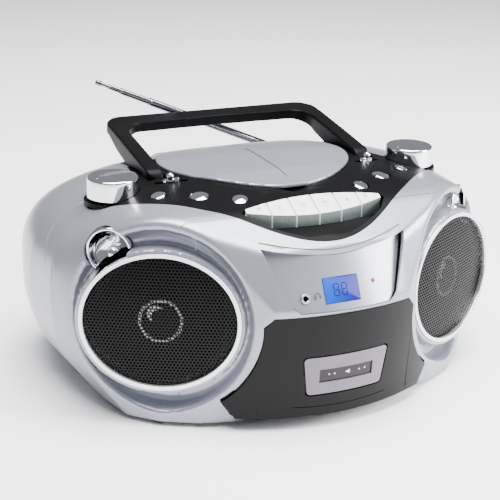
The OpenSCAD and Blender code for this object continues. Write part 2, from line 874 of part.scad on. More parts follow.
module program_button() { push_button(-1, 0); }
module display_button() { push_button(-1, 1); }
module back_button() { push_button(-1, 2); }
module skip_button() { push_button(1, 2); }
module cd_play_button() { push_button(1, 1); }
module repeat_button() { push_button(1, 0); }

// ---- handle ----

// Handle drawn flat: the pivots lie on X and the arms run along Y
module handle_form() {
    bow = 300;
    intersection() {
        difference() {
            side_view();
            // opening for the hand, with rounded corners
            linear_extrude(40, center = true) hull() {
                for (side = [-1, 1]) {
                    translate([side * (handle_x - 20.7), handle_reach - 21]) circle(r = 15, $fn = 48);
                    translate([side * (handle_x - 12.2), -40]) circle(r = 6.5);
                }
                translate([0, handle_reach - 4.5 - bow]) intersection() {
                    circle(r = bow, $fn = 360);
                    translate([-40, bow - 20]) square([80, 40]);
                }
            }
        }
        linear_extrude(40, center = true) hull() {
            for (side = [-1, 1]) {
                translate([side * (handle_x - 10), handle_reach - 4]) circle(r = 15.6, $fn = 48);
                translate([side * (handle_x - 2.2), 0]) circle(r = 8, $fn = 32);
            }
            translate([0, handle_reach + 11.8 - bow]) intersection() {
                circle(r = bow, $fn = 360);
                translate([-60, bow - 30]) square([120, 40]);
            }
        }
    }
}

// Side view of the handle: deep at the pivots, with a full grip at the end
module side_view() {
    rotate([90, 0, 90]) linear_extrude(200, center = true) union() {
        circle(r = 8, $fn = 48);
        polygon([[0, -8], [30, -7.4], [handle_reach - 24, -5.6], [handle_reach - 6, -2],
            [handle_reach + 9, -3.4],
            [handle_reach + 13, 0.6], [handle_reach + 11, 4.6], [handle_reach - 12, 6], [30, 7.4],
            [0, 8]]);
    }
}

module carry_handle() {
    color("#18181a") translate([0, handle_y, handle_z]) {
        rotate([handle_rest, 0, 0]) handle_form();
        for (side = [-1, 1]) translate([side * handle_x, 0, 0]) rotate([0, 90, 0])
            cylinder(r = 3, h = 15, center = true);
    }
}

// ---- antenna, laid out along its own length and then raised ----

module antenna_place() {
    translate([antenna_x, antenna_y, antenna_z]) rotate([0, -(90 - antenna_rest), 0]) children();
}

module stage(r, bore, from, to) {
    translate([0, 0, from]) difference() {
        cylinder(r = r, h = to - from);
        if (bore > 0) translate([0, 0, 2]) cylinder(r = bore, h = to - from);
    }
}

// Swivelling fork that carries the antenna
module antenna_yoke() {
    color(steel) {
        translate([antenna_x, body_rear - 6, antenna_z]) rotate([-90, 0, 0]) cylinder(r = 4.2, h = 6.2);
        translate([antenna_x, body_rear + 0.2, antenna_z]) rotate([-90, 0, 0]) cylinder(r = 6.5, h = 7);
        antenna_place() {
            translate([-4.5, -7, -4.6]) cube([9, 1.8, 9.6]);
            for (x = [-4.5, 3.1]) translate([x, -5.4, -4.6]) cube([1.4, 8.6, 9.6]);
            // pin that the antenna tilts on
            translate([-4, 0, 0]) rotate([0, 90, 0]) cylinder(r = tilt_pin_r, h = 8);
        }
    }
}

module antenna_stage_1() {
    color(chrome) antenna_place() difference() {
        union() {
            translate([-2.9, -2.9, -4]) cube([5.8, 5.8, 12]);
            stage(3, 0, 7, antenna_len - 45);
        }
        translate([0, 0, 10]) cylinder(r = 2.45, h = 200);
        rotate([0, 90, 0]) cylinder(r = tilt_pin_r + 0.07, h = 10, center = true);
    }
}

module antenna_stage_2() { color(chrome) antenna_place() stage(2.38, 1.9, 12, antenna_len - 20); }
module antenna_stage_3() { color(chrome) antenna_place() stage(1.83, 1.3, 16, antenna_len - 10); }

module antenna_stage_4() {
    color(chrome) antenna_place() {
        stage(1.23, 0, 20, antenna_len - 3);
        translate([0, 0, antenna_len - 4]) cylinder(r = 2, h = 4, $fn = 32);
    }
}

front_shell();
rear_shell();
top_panel();
display_panel();
lcd_window();
lcd_module();
standby_led();
headphone_jack();
bass_port_trims();
speaker_grilles();
grille_rings();
speaker_baskets();
speaker_cones();
rubber_feet();
case_screws();
battery_door();
ac_inlet();
transformer();
main_board();
cd_lid();
disc_clamp();
cd_well();
turntable();
spindle_motor();
laser_sled();
sled_rods();
cassette_door();
cassette_window();
cassette_holder();
deck_plate();
capstan_flywheel();
pinch_roller();
head_slide();
supply_reel();
takeup_reel();
deck_motor();
motor_pulley();
drive_belt();
record_key();
play_key();
rewind_key();
forward_key();
stop_key();
pause_key();
volume_knob();
tuning_knob();
function_switch();
band_switch();
program_button();
display_button();
back_button();
skip_button();
cd_play_button();
repeat_button();
carry_handle();
antenna_yoke();
antenna_stage_1();
antenna_stage_2();
antenna_stage_3();
antenna_stage_4();
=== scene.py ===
import json
import math

import bmesh
import bpy
from mathutils import Matrix, Vector


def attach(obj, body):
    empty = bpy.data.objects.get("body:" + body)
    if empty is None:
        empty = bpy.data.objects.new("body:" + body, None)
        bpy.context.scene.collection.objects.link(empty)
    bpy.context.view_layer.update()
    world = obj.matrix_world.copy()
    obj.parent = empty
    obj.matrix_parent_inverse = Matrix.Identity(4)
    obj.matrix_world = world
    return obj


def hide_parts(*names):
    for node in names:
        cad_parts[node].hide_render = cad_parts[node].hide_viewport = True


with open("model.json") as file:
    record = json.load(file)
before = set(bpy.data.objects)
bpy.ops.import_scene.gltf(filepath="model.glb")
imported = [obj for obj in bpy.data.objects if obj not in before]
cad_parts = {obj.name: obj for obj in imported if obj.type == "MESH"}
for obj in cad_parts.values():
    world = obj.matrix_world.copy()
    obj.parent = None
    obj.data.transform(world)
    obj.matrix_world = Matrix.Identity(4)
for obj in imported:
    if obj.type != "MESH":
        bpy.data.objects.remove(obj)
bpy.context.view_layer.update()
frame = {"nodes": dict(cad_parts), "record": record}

MM = 0.001
NODES = frame["nodes"]
BODY_OF = {n: b for b, names in frame["record"]["behaviour"]["bodies"].items() for n in names}
SLOT_OF = {s["node"]: s["material_slot"] for s in frame["record"]["subparts"]}

# ---- sizes shared with the CAD design, in millimetres ----
BODY_W, BODY_TOP, BODY_REAR, WALL, FOOT_H = 330, 143, 104, 2.6, 3
POD_X, POD_Y, POD_Z, POD_YAW, POD_PITCH, POD_R = 107.4, -70, 71, 28, 4, 67
RIM_YAW, DISH_DEPTH, GRILLE_A, GRILLE_B = 9, 8, 51.4, 45
KEY_PITCH, DOOR_LEAN, FRONT_R, DOOR_T = 16.15, 4, 150, 2.4
DISC_Y, LID_HINGE_Y, LID_HINGE_Z = 26, 90, 130
HANDLE_X, HANDLE_Y = 79.5, 19
MID_Z, LOW_HALF, ROUNDNESS, TAIL_Y = 76, 93, 2.8, 24
NOSE_Y, NOSE_Z, PANEL_LEAN, GAP = -119, 80, 27, 0.4
WINDOW_X = 2
KNOB_X, KNOB_Y, KNOB_TOP = 112.7, 3.3, 147
INLET_X = -100
ANTENNA = (100, 118, 102)
BUTTONS = [(90.5, -22.7, 4.6, 137.6), (67.5, -35.4, 5.6, 138), (44.2, -47.6, 5, 137.2)]


# ---- mesh helpers: all lengths in millimetres, turned into metres once at the end ----

def rx(a):
    return Matrix.Rotation(math.radians(a), 4, "X")


def ry(a):
    return Matrix.Rotation(math.radians(a), 4, "Y")


def rz(a):
    return Matrix.Rotation(math.radians(a), 4, "Z")


def move(x, y, z):
    return Matrix.Translation((x, y, z))


def link(name, mesh):
    obj = bpy.data.objects.new(name, mesh)
    bpy.context.scene.collection.objects.link(obj)
    return obj


def from_bmesh(name, bm):
    bmesh.ops.recalc_face_normals(bm, faces=bm.faces)
    mesh = bpy.data.meshes.new(name)
    bm.to_mesh(mesh)
    bm.free()
    return link(name, mesh)


def drop(*objs):
    for o in objs:
        bpy.data.objects.remove(o)


def apply_modifiers(obj):
    """Turns the object's modifiers into its mesh."""
    graph = bpy.context.evaluated_depsgraph_get()
    graph.update()
    mesh = bpy.data.meshes.new_from_object(obj.evaluated_get(graph))
    obj.modifiers.clear()
    obj.data = mesh
    return obj


def boolean(obj, cutters, how="DIFFERENCE"):
    """Cuts, joins or intersects obj with each cutter, and removes the cutters."""
    for cutter in cutters if isinstance(cutters, (list, tuple)) else [cutters]:
        mod = obj.modifiers.new("cut", "BOOLEAN")
        mod.operation = how
        mod.solver = "MANIFOLD"
        mod.object = cutter
        apply_modifiers(obj)
        drop(cutter)
    return obj


def prism(outline, low, high, at=Matrix.Identity(4)):
    """A closed outline of (x, y) points, raised from low to high along its own Z."""
    bm = bmesh.new()
    rings = [[bm.verts.new(at @ Vector((x, y, z))) for x, y in outline] for z in (low, high)]
    count = len(outline)
    for i in range(count):
        j = (i + 1) % count
        bm.faces.new((rings[0][i], rings[0][j], rings[1][j], rings[1][i]))
    bm.faces.new(rings[0][::-1])
    bm.faces.new(rings[1])
    return from_bmesh("prism", bm)


def block(x0, y0, z0, x1, y1, z1, at=Matrix.Identity(4)):
    return prism([(x0, y0), (x1, y0), (x1, y1), (x0, y1)], z0, z1, at)


FACING = rx(90)     # a prism drawn in X and Z, raised towards -Y


def lathe(profile, segments=96, at=Matrix.Identity(4), stretch=1.0):
    """A closed profile of (radius, height) points turned round the local Z axis."""
    bm = bmesh.new()
    rings = []
    for r, z in profile:
        if r == 0:
            rings.append([bm.verts.new(at @ Vector((0, 0, z)))])
        else:
            rings.append([bm.verts.new(at @ Vector((r * math.cos(a), stretch * r * math.sin(a), z)))
                          for a in (2 * math.pi * k / segments for k in range(segments))])
    for low, high in zip(rings, rings[1:] + rings[:1]):
        if len(low) == 1 and len(high) == 1:
            continue
        for k in range(segments):
            n = (k + 1) % segments
            quad = [low[k % len(low)], low[n % len(low)], high[n % len(high)], high[k % len(high)]]
            corners = [v for i, v in enumerate(quad) if v not in quad[:i]]
            bm.faces.new(corners)
    return from_bmesh("lathe", bm)


def oval_tube(a, b, width, low, high, at, corner=0.6, segments=128):
    """An oval ring with rounded front corners; a and b are its outer half axes."""
    profile = [(0, low)]
    for t in (0, 22.5, 45, 67.5, 90):
        across, up = corner * math.cos(math.radians(t)), corner * math.sin(math.radians(t))
        profile.append((across - corner if t < 90 else 0, high - corner + up))
    inner = [(-width - x, z) for x, z in reversed(profile)]
    bm = bmesh.new()
    rings = []
    for d, z in profile + inner:
        rings.append([bm.verts.new(at @ Vector(((a + d) * math.cos(t), (b + d) * math.sin(t), z)))
                      for t in (2 * math.pi * k / segments for k in range(segments))])
    for low_ring, high_ring in zip(rings, rings[1:] + rings[:1]):
        for k in range(segments):
            n = (k + 1) % segments
            bm.faces.new((low_ring[k], low_ring[n], high_ring[n], high_ring[k]))
    return from_bmesh("ring", bm)


def convex(points):
    bm = bmesh.new()
    for p in points:
        bm.verts.new(p)
    bmesh.ops.convex_hull(bm, input=bm.verts)
    loose = [v for v in bm.verts if not v.link_faces]
    bmesh.ops.delete(bm, geom=loose, context="VERTS")
    return from_bmesh("hull", bm)


def circle(x, y, r, count=48, start=0, sweep=360):
    steps = count if sweep == 360 else count + 1
    return [(x + r * math.cos(math.radians(start + sweep * k / count)),
             y + r * math.sin(math.radians(start + sweep * k / count))) for k in range(steps)]


def bevel(obj, width, segments=3, angle=30):
    mod = obj.modifiers.new("bevel", "BEVEL")
    mod.width = width
    mod.segments = segments
    mod.limit_method = "ANGLE"
    mod.angle_limit = math.radians(angle)
    mod.use_clamp_overlap = True
    return apply_modifiers(obj)


def remesh(obj, voxel, smooth=6, keep=1.0):
    mod = obj.modifiers.new("remesh", "REMESH")
    mod.mode = "VOXEL"
    mod.voxel_size = voxel
    mod = obj.modifiers.new("smooth", "SMOOTH")
    mod.factor = 0.5
    mod.iterations = smooth
    if keep < 1:
        mod = obj.modifiers.new("fewer", "DECIMATE")
        mod.ratio = keep
    return apply_modifiers(obj)


def copy_of(obj):
    return link(obj.name, obj.data.copy())


def tidy_mesh(obj, angle=32):
    """Welds stray vertices and keeps hard edges where faces meet at more than the angle."""
    bm = bmesh.new()
    bm.from_mesh(obj.data)
    bmesh.ops.remove_doubles(bm, verts=bm.verts, dist=0.004)
    bmesh.ops.dissolve_degenerate(bm, edges=bm.edges, dist=0.004)
    bmesh.ops.recalc_face_normals(bm, faces=bm.faces)
    bm.to_mesh(obj.data)
    bm.free()
    obj.data.shade_smooth()
    obj.data.set_sharp_from_angle(angle=math.radians(angle))
    return obj


def finish(obj, name, material, body, stands_for=(), slot=None, angle=32):
    """Turns a millimetre mesh into a finished piece that rides on its body."""
    tidy_mesh(obj, angle)
    obj.data.transform(Matrix.Scale(MM, 4))
    obj.name = name
    obj.data.name = name
    if material:
        obj.data.materials.clear()
        obj.data.materials.append(material)
    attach(obj, body)
    if stands_for:
        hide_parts(*stands_for)
        slot = slot or SLOT_OF[stands_for[0]]
    return obj


# ---- materials ----

def shader(name, colour, metallic=0.0, roughness=0.5, coat=0.0, coat_roughness=0.1, ior=1.5,
           transmission=0.0, emission=None, emission_strength=0.0):
    mat = bpy.data.materials.new(name)
    mat.use_nodes = True
    tree = mat.node_tree
    bsdf = tree.nodes["Principled BSDF"]
    bsdf.inputs["Base Color"].default_value = (*colour, 1)
    bsdf.inputs["Metallic"].default_value = metallic
    bsdf.inputs["Roughness"].default_value = roughness
    bsdf.inputs["Coat Weight"].default_value = coat
    bsdf.inputs["Coat Roughness"].default_value = coat_roughness
    bsdf.inputs["IOR"].default_value = ior
    bsdf.inputs["Transmission Weight"].default_value = transmission
    if emission:
        bsdf.inputs["Emission Color"].default_value = (*emission, 1)
        bsdf.inputs["Emission Strength"].default_value = emission_strength
    return mat, tree, bsdf


def add(tree, kind, **values):
    node = tree.nodes.new(kind)
    for key, value in values.items():
        key = key.replace("_", " ").title() if key not in ("operation", "blend_type", "data_type") else key
        if key in ("operation", "blend_type", "data_type"):
            setattr(node, key, value)
        else:
            node.inputs[key].default_value = value
    return node


def coords(tree):
    return add(tree, "ShaderNodeTexCoord").outputs["Object"]


def noise(tree, scale, detail=3.0, roughness=0.55):
    node = add(tree, "ShaderNodeTexNoise", scale=scale, detail=detail, roughness=roughness)
    tree.links.new(coords(tree), node.inputs["Vector"])
    return node.outputs["Fac"]


def ramp(tree, value, low, high, at=(0.3, 0.7)):
    node = tree.nodes.new("ShaderNodeValToRGB")
    node.color_ramp.elements[0].position = at[0]
    node.color_ramp.elements[1].position = at[1]
    node.color_ramp.elements[0].color = (*low, 1)
    node.color_ramp.elements[1].color = (*high, 1)
    tree.links.new(value, node.inputs["Fac"])
    return node.outputs["Color"]


def spread(tree, value, low, high):
    node = tree.nodes.new("ShaderNodeMapRange")
    node.inputs["To Min"].default_value = low
    node.inputs["To Max"].default_value = high
    tree.links.new(value, node.inputs["Value"])
    return node.outputs["Result"]


def bump(tree, bsdf, value, strength, distance=0.0003):
    node = add(tree, "ShaderNodeBump")
    node.inputs["Strength"].default_value = strength
    node.inputs["Distance"].default_value = distance
    tree.links.new(value, node.inputs["Height"])
    tree.links.new(node.outputs["Normal"], bsdf.inputs["Normal"])


def surface(name, colour, other, metallic, rough, grain, grain_strength, colour_scale=18, coat=0.0,
            coat_roughness=0.1, flecks=0, specular=0.5):
    """Colour that wanders a little, roughness with faint handling marks, and a fine grain."""
    mat, tree, bsdf = shader(name, colour, metallic, rough[0], coat, coat_roughness)
    bsdf.inputs["Specular IOR Level"].default_value = specular
    base = ramp(tree, noise(tree, colour_scale, 4.0), colour, other)
    if flecks:
        mix = tree.nodes.new("ShaderNodeMix")
        mix.data_type = "RGBA"
        mix.blend_type = "MULTIPLY"
        mix.inputs["Factor"].default_value = flecks
        tree.links.new(base, mix.inputs["A"])
        tree.links.new(ramp(tree, noise(tree, 2600, 1.0), (0.55, 0.55, 0.58), (1, 1, 1), (0.38, 0.62)),
                       mix.inputs["B"])
        base = mix.outputs["Result"]
    tree.links.new(base, bsdf.inputs["Base Color"])
    tree.links.new(spread(tree, noise(tree, 55, 6.0, 0.7), rough[0], rough[1]), bsdf.inputs["Roughness"])
    bump(tree, bsdf, noise(tree, grain, 2.0), grain_strength, 0.00012)
    return mat


MATS = {
    "silver": surface("silver_lacquer", (0.27, 0.28, 0.325), (0.30, 0.31, 0.355), 0.55, (0.27, 0.36), 1800,
                      0.05, coat=0.3, coat_roughness=0.16, flecks=0.16),
    "black_satin": surface("black_satin", (0.001, 0.001, 0.0012), (0.0018, 0.0018, 0.002), 0.0, (0.36, 0.46),
                           2200, 0.10, specular=0.07),
    "black_gloss": surface("black_gloss", (0.0008, 0.0008, 0.001), (0.0013, 0.0013, 0.0015), 0.0, (0.26, 0.34),
                           1500, 0.03, specular=0.14),
    "chrome": surface("bright_chrome", (0.78, 0.79, 0.82), (0.84, 0.85, 0.88), 1.0, (0.05, 0.11), 900, 0.02),
    "steel": surface("zinc_steel", (0.42, 0.43, 0.45), (0.52, 0.52, 0.54), 1.0, (0.28, 0.42), 700, 0.08),
    "key_plastic": surface("pearl_key", (0.72, 0.70, 0.715), (0.78, 0.76, 0.77), 0.0, (0.28, 0.38), 1600, 0.05,
                           coat=0.3),
    "key_front": surface("key_front", (0.075, 0.095, 0.092), (0.15, 0.18, 0.175), 0.5, (0.35, 0.5), 2400, 0.25,
                         colour_scale=1400),
    "mark_grey": surface("mark_grey", (0.30, 0.30, 0.32), (0.36, 0.36, 0.38), 0.0, (0.4, 0.5), 1200, 0.03),
    "mark_white": surface("mark_white", (0.78, 0.78, 0.80), (0.84, 0.84, 0.85), 0.0, (0.4, 0.5), 1200, 0.03),
    "mark_dark": surface("mark_dark", (0.03, 0.03, 0.035), (0.045, 0.045, 0.05), 0.0, (0.4, 0.5), 1200, 0.03),
    "window": surface("smoked_frame", (0.12, 0.10, 0.125), (0.145, 0.125, 0.15), 0.15, (0.26, 0.34), 1400, 0.04,
                      coat=0.1),
    "window_dark": surface("tape_view", (0.010, 0.007, 0.012), (0.015, 0.011, 0.017), 0.0, (0.16, 0.24), 900,
                           0.02, specular=0.3),
    "rubber": surface("rubber", (0.017, 0.017, 0.018), (0.026, 0.026, 0.026), 0.0, (0.6, 0.75), 900, 0.3),
    "speaker_mesh": surface("speaker_mesh", (0.003, 0.003, 0.0034), (0.005, 0.005, 0.0055), 0.2, (0.34, 0.46),
                            1500, 0.08, specular=0.2),
    "paper_cone": surface("paper_cone", (0.002, 0.002, 0.002), (0.003, 0.003, 0.003), 0.0, (0.8, 0.9), 600, 0.4,
                          specular=0.05),
    "board": surface("solder_mask", (0.02, 0.14, 0.06), (0.03, 0.18, 0.08), 0.0, (0.3, 0.45), 500, 0.1),
    "iron": surface("iron_core", (0.11, 0.085, 0.06), (0.16, 0.12, 0.08), 0.4, (0.4, 0.6), 400, 0.2),
    "white_plastic": surface("acetal", (0.68, 0.68, 0.65), (0.74, 0.74, 0.71), 0.0, (0.4, 0.5), 900, 0.06),
    "brass": surface("turned_brass", (0.62, 0.47, 0.20), (0.70, 0.54, 0.25), 1.0, (0.2, 0.32), 1200, 0.06),
    "dark_plastic": surface("dark_plastic", (0.03, 0.03, 0.033), (0.042, 0.042, 0.046), 0.0, (0.42, 0.52), 1500,
                            0.12),
    "antenna": surface("antenna_steel", (0.20, 0.20, 0.215), (0.27, 0.27, 0.285), 1.0, (0.16, 0.26), 900, 0.03),
    "led": surface("led_red", (0.16, 0.008, 0.015), (0.22, 0.012, 0.02), 0.0, (0.12, 0.2), 900, 0.02, coat=0.6),
    "ring": surface("ring_silver", (0.70, 0.71, 0.74), (0.76, 0.77, 0.80), 0.85, (0.14, 0.22), 900, 0.02),
    # Pale cap material: the cap ring's own colour, and on the cap glint a painted highlight
    "glint": surface("cap_ring_and_painted_glint", (0.82, 0.82, 0.84), (0.90, 0.90, 0.92), 0.2, (0.25, 0.35), 900, 0.02),
    # Near-black and barely reflecting: on the speaker baskets it is their black paint made darker still as
    # painted shade, so the grille holes read as a dark hollow; in the headphone socket it is painted shade
    # filling the hole
    "black_and_painted_hollow_shade": surface("black_and_painted_hollow_shade", (0.001, 0.001, 0.001), (0.002, 0.002, 0.002), 0.0, (0.8, 0.9), 600, 0.1,
                      specular=0.05),
}




def lcd_material():
    """Blue backlight that turns violet to one side."""
    mat, tree, bsdf = shader("lcd_blue", (0.004, 0.04, 0.35), 0, 0.35, emission=(0.005, 0.06, 0.6),
                             emission_strength=0.15)
    bsdf.inputs["Specular IOR Level"].default_value = 0.15
    split = tree.nodes.new("ShaderNodeSeparateXYZ")
    tree.links.new(coords(tree), split.inputs[0])
    where = tree.nodes.new("ShaderNodeMapRange")
    where.inputs["From Min"].default_value = -0.0145
    where.inputs["From Max"].default_value = 0.0095
    tree.links.new(split.outputs["X"], where.inputs["Value"])
    wobble = tree.nodes.new("ShaderNodeMath")
    wobble.operation = "MULTIPLY_ADD"
    wobble.inputs[1].default_value = 0.25
    tree.links.new(noise(tree, 60, 2.0), wobble.inputs[0])
    tree.links.new(where.outputs["Result"], wobble.inputs[2])
    colour = ramp(tree, wobble.outputs[0], (0.002, 0.045, 0.33), (0.006, 0.008, 0.17), (0.25, 0.95))
    tree.links.new(colour, bsdf.inputs["Base Color"])
    tree.links.new(colour, bsdf.inputs["Emission Color"])
    return mat


MATS["lcd"] = lcd_material()
MATS["lcd_dark"] = surface("lcd_segments", (0.002, 0.01, 0.07), (0.003, 0.014, 0.09), 0.0, (0.2, 0.3), 900,
                           0.02, specular=0.1)

# ---- the casing's outer form, with the same formulas as the CAD design ----

def power_curve(a, b, n, t):
    c, s = math.cos(math.radians(t)), math.sin(math.radians(t))
    return (math.copysign(a * abs(c) ** (2 / n), c), math.copysign(b * abs(s) ** (2 / n), s))


def on_pod(side):
    return move(side * POD_X, POD_Y, POD_Z) @ rz(side * POD_YAW) @ rx(90 - POD_PITCH)


def on_rim(side):
    return on_pod(side) @ ry(side * RIM_YAW) @ move(0, 0, -4)


def on_port(side):
    return on_pod(side) @ move(side * 34, 41, -16) @ ry(side * RIM_YAW)


BASE = [(-132, -30), (-125, -57), (-109, -73), (-86, -85), (-66, -91), (66, -91), (86, -85), (109, -73),
        (125, -57), (132, -30), (128, 70), (104, 96), (-104, 96), (-128, 70)]


def nose(x):
    return NOSE_Y + FRONT_R - math.sqrt(FRONT_R ** 2 - x * x)


def casing_points(g, steps=2.5):
    """Points of the casing's convex form, shrunk by g."""
    points = []
    for side in (-1, 1):
        at = on_rim(side)
        for t in range(0, 91, 15):
            r = POD_R - 5 - g + 5 * math.sin(math.radians(t))
            z = -g - (12 - g) * (1 - math.cos(math.radians(t)))
            points += [at @ Vector((*p, z)) for p in circle(0, 0, r, 120)]
        points += [at @ Vector((*p, -30)) for p in circle(0, 0, POD_R - g, 120)]
    wide = BODY_W / 2 - g
    top_half = BODY_TOP - MID_Z
    turns = int(360 / steps)
    slices = [(TAIL_Y + (BODY_REAR - g - TAIL_Y) * math.sin(math.radians(t)),
               wide - 34 * (1 - math.cos(math.radians(t))),
               top_half - g - 26 * (1 - math.cos(math.radians(t))),
               LOW_HALF - 20 * (1 - math.cos(math.radians(t)))) for t in range(0, 91, 5)]
    slices.append((-12, wide - 4, top_half - g, LOW_HALF))
    for y, a, up, down in slices:
        for k in range(turns):
            t = k * steps
            x, z = power_curve(a, up if t <= 180 else down, ROUNDNESS, t)
            points.append(Vector((x, y, MID_Z + z)))
    for x in (-44, 44):
        points += [Vector((x, -90 + u, 109 + v)) for u, v in circle(0, 0, 12 - g, 48)]
    for k in range(-12, 13):
        x = 46 * k / 12
        points += [Vector((x + u, nose(x) + 3 + v, NOSE_Z + h))
                   for u, v in circle(0, 0, 3 - g / 2, 16) for h in (3, 5)]
    for x, y in BASE:
        far = math.hypot(x, y)
        points += [Vector((x * (1 - g / far), y * (1 - g / far), FOOT_H + g + h)) for h in (0, 4)]
    return points


def dish(side, g=0.0):
    """The hollow between a pod's rim and its grille, its surface moved inward by g."""
    r0 = POD_R - 7 + g
    profile = [(0, 30), (r0, 30), (r0, 0)]
    for t in range(0, 91, 15):
        c, s = math.cos(math.radians(t)), math.sin(math.radians(t))
        profile.append((r0 - 1.5 - 5.5 * (1 - c), -(DISH_DEPTH + g) * s))
    profile.append((0, -DISH_DEPTH - g))
    return lathe(profile, 128, on_rim(side))


def collar(side, grow=0.0, front=0.8):
    a, b = GRILLE_A + 2.6 + grow, GRILLE_B + 2.6 + grow
    outline = [(a * math.cos(t), b * math.sin(t)) for t in (2 * math.pi * k / 128 for k in range(128))]
    return prism(outline, -34, front, on_pod(side))


def casing_solid():
    solid = convex(casing_points(0))
    boolean(solid, block(-300, -300, -50, 300, 300, FOOT_H))
    boolean(solid, [dish(side) for side in (-1, 1)])
    boolean(solid, [collar(side) for side in (-1, 1)], "UNION")
    return remesh(solid, 1.15, smooth=5, keep=0.5)


def panel_front(x):
    return -95 - 58 + math.sqrt(58 * 58 + (1.05 * x) ** 2)


def panel_prism(low, high, grow=0.0):
    front = [(x, panel_front(x) - grow) for x in (-124 + 248 * k / 80 for k in range(81))]
    rear = [(122, 4), (100, 9), (91, 20), (88, 48), (72, 56), (-72, 56), (-88, 48), (-91, 20), (-100, 9),
            (-122, 4)]
    return prism(front + rear, low, high)


def lid_prism(low, high, g=0.0):
    solid = prism([(x, y + 30) for x, y in (power_curve(70 - g, 69 - g, 1.8, t) for t in range(0, 360, 3))],
                  low, high)
    boolean(solid, block(-54 + g, 40, low, 54 - g, LID_HINGE_Y + 2.5 - g, high), "UNION")
    return boolean(solid, block(-100, -38 + g, low - 1, 100, LID_HINGE_Y + 4 - g, high + 1), "INTERSECT")


def pod_side_x(z, g):
    r = 61.5 - g
    return POD_X - math.cos(math.radians(POD_YAW)) * math.sqrt(r * r - (z - POD_Z) ** 2)


def door_outline(g=0.0):
    right = [(67.5 + g, 9.5 - g), (pod_side_x(21.5, g) + g / 2, 21.5 - g / 2)]
    right += [(pod_side_x(z, g), z) for z in (24 + 2.5 * k for k in range(21))]
    right += [(47.5 + g / 2, 80.3 + g / 2)]
    return right + [(-x, z) for x, z in reversed(right)]


def display_outline(g=0.0):
    top = [(x, 113.4 + 7 * (abs(x) / 51) ** 1.6 + g) for x in (51 - 102 * k / 24 for k in range(25))]
    return [(-36.5 - g, 87), (-31.5, 82.4 - g), (31.5, 82.4 - g), (36.5 + g, 87)] + top


def curved_plate(lean, d0, d1, outline, y0=-70, y1=-140):
    """A slice of a drum between two depths behind its front, pierced by an outline."""
    at = move(0, NOSE_Y, NOSE_Z) @ rx(lean) @ move(0, FRONT_R, -120)
    drum = lathe([(0, 0), (FRONT_R - d0, 0), (FRONT_R - d0, 240), (0, 240)], 720, at)
    boolean(drum, lathe([(0, -1), (FRONT_R - d1, -1), (FRONT_R - d1, 241), (0, 241)], 720, at))
    return boolean(drum, prism(outline, -y0, -y1, FACING), "INTERSECT")


def key_lens(g=0.0):
    rear = [(x, -263.8 + math.sqrt((205 + g) ** 2 - x * x)) for x in (-49.25 - g + (98.5 + 2 * g) * k / 48
                                                                    for k in range(49))]
    front = [(x, 90.3 - math.sqrt((165 + g) ** 2 - x * x)) for x, _ in reversed(rear)]
    return rear + front


def button_place(side, i):
    x, y, _, z = BUTTONS[i]
    return move(side * x, y, z) @ ry(side * (12 - 3 * i)) @ rx(8 + 4 * i)


def switch_place(side):
    return move(side * 74.1, -2.2, 139.8) @ rz(side * 18) @ ry(side * 9)


def handle_slots():
    return [block(side * HANDLE_X - 6.6, HANDLE_Y - 11, 120, side * HANDLE_X + 6.6, HANDLE_Y + 51, 168)
            for side in (-1, 1)]


# Seams round each pod, seen along the rim: (height above the pod's centre, depth behind the rim)
SEAM = [(-130, -8.6), (12, -8.6), (22, -9.1), (30, -12.2), (41.4, -18.6), (60, -30.8), (90, -49.5)]
LINE = [(24, -17.4), (29, -18.8), (38, -25.4), (48, -33.2), (61.2, -45.0), (90, -70)]


def across_rim(side, outline):
    """A prism drawn in the rim's upright section and run right across the pod."""
    upright = Matrix(((0, 0, 1, 0), (1, 0, 0, 0), (0, 1, 0, 0), (0, 0, 0, 1)))
    solid = prism(outline, -150, 150, on_rim(side) @ upright)
    near, far = sorted((side * 95, side * 260))
    return boolean(solid, block(near, -300, -50, far, 300, 300), "INTERSECT")


def front_part(shift):
    """The space in front of the seam where the two shells meet."""
    space = block(-95.05, -250, -20, 95.05, -69.4 - shift, 300)
    for side in (-1, 1):
        outline = [(y, z + shift) for y, z in SEAM] + [(90, 90), (-130, 90)]
        boolean(space, across_rim(side, outline), "UNION")
    return space


SOLID = casing_solid()


def inner_form():
    """The hollow inside the shells, one wall thickness below the surface."""
    form = convex(casing_points(WALL, 5))
    boolean(form, [dish(side, WALL) for side in (-1, 1)])
    return boolean(form, [collar(side, -WALL, -1.8) for side in (-1, 1)], "UNION")


INNER = inner_form()


SHRUNK = {}


def shrunk(depth):
    """A copy of the casing's form with its surface moved inward by a depth."""
    if depth not in SHRUNK:
        form = copy_of(SOLID)
        mod = form.modifiers.new("offset", "DISPLACE")
        mod.strength = -depth
        mod.mid_level = 0
        SHRUNK[depth] = apply_modifiers(form)
    return copy_of(SHRUNK[depth])


def pod_groove(side, depth):
    """The fine second line behind each pod's seam."""
    outline = LINE + [(y, z - 0.45) for y, z in reversed(LINE)]
    return boolean(across_rim(side, outline), shrunk(depth))


def band_groove(depth):
    """The fine line that follows the upper edge of the display panel."""
    low = [(x, 116.0 + 7 * (abs(x) / 51) ** 1.6) for x in (-50 + 100 * k / 32 for k in range(33))]
    strip = prism(low + [(x, z + 0.6) for x, z in reversed(low)], 80, 140, FACING)
    return boolean(strip, shrunk(depth))


def shell_blank():
    return boolean(copy_of(SOLID), copy_of(INNER))


def cut_front_openings(shell):
    cuts = [panel_prism(112, 160, 0.1)]
    for side in (-1, 1):
        cuts.append(prism(circle(side * KNOB_X, KNOB_Y, 17.9, 96), 112, 160))
        a, b = GRILLE_A + 0.3, GRILLE_B + 0.3
        oval = [(a * math.cos(t), b * math.sin(t)) for t in (2 * math.pi * k / 128 for k in range(128))]
        cuts.append(prism(oval, -40, 21, on_pod(side)))
        cuts.append(lathe([(0, -8), (15.8, -8), (15.8, 21), (0, 21)], 64, on_port(side)))
    return boolean(shell, cuts)


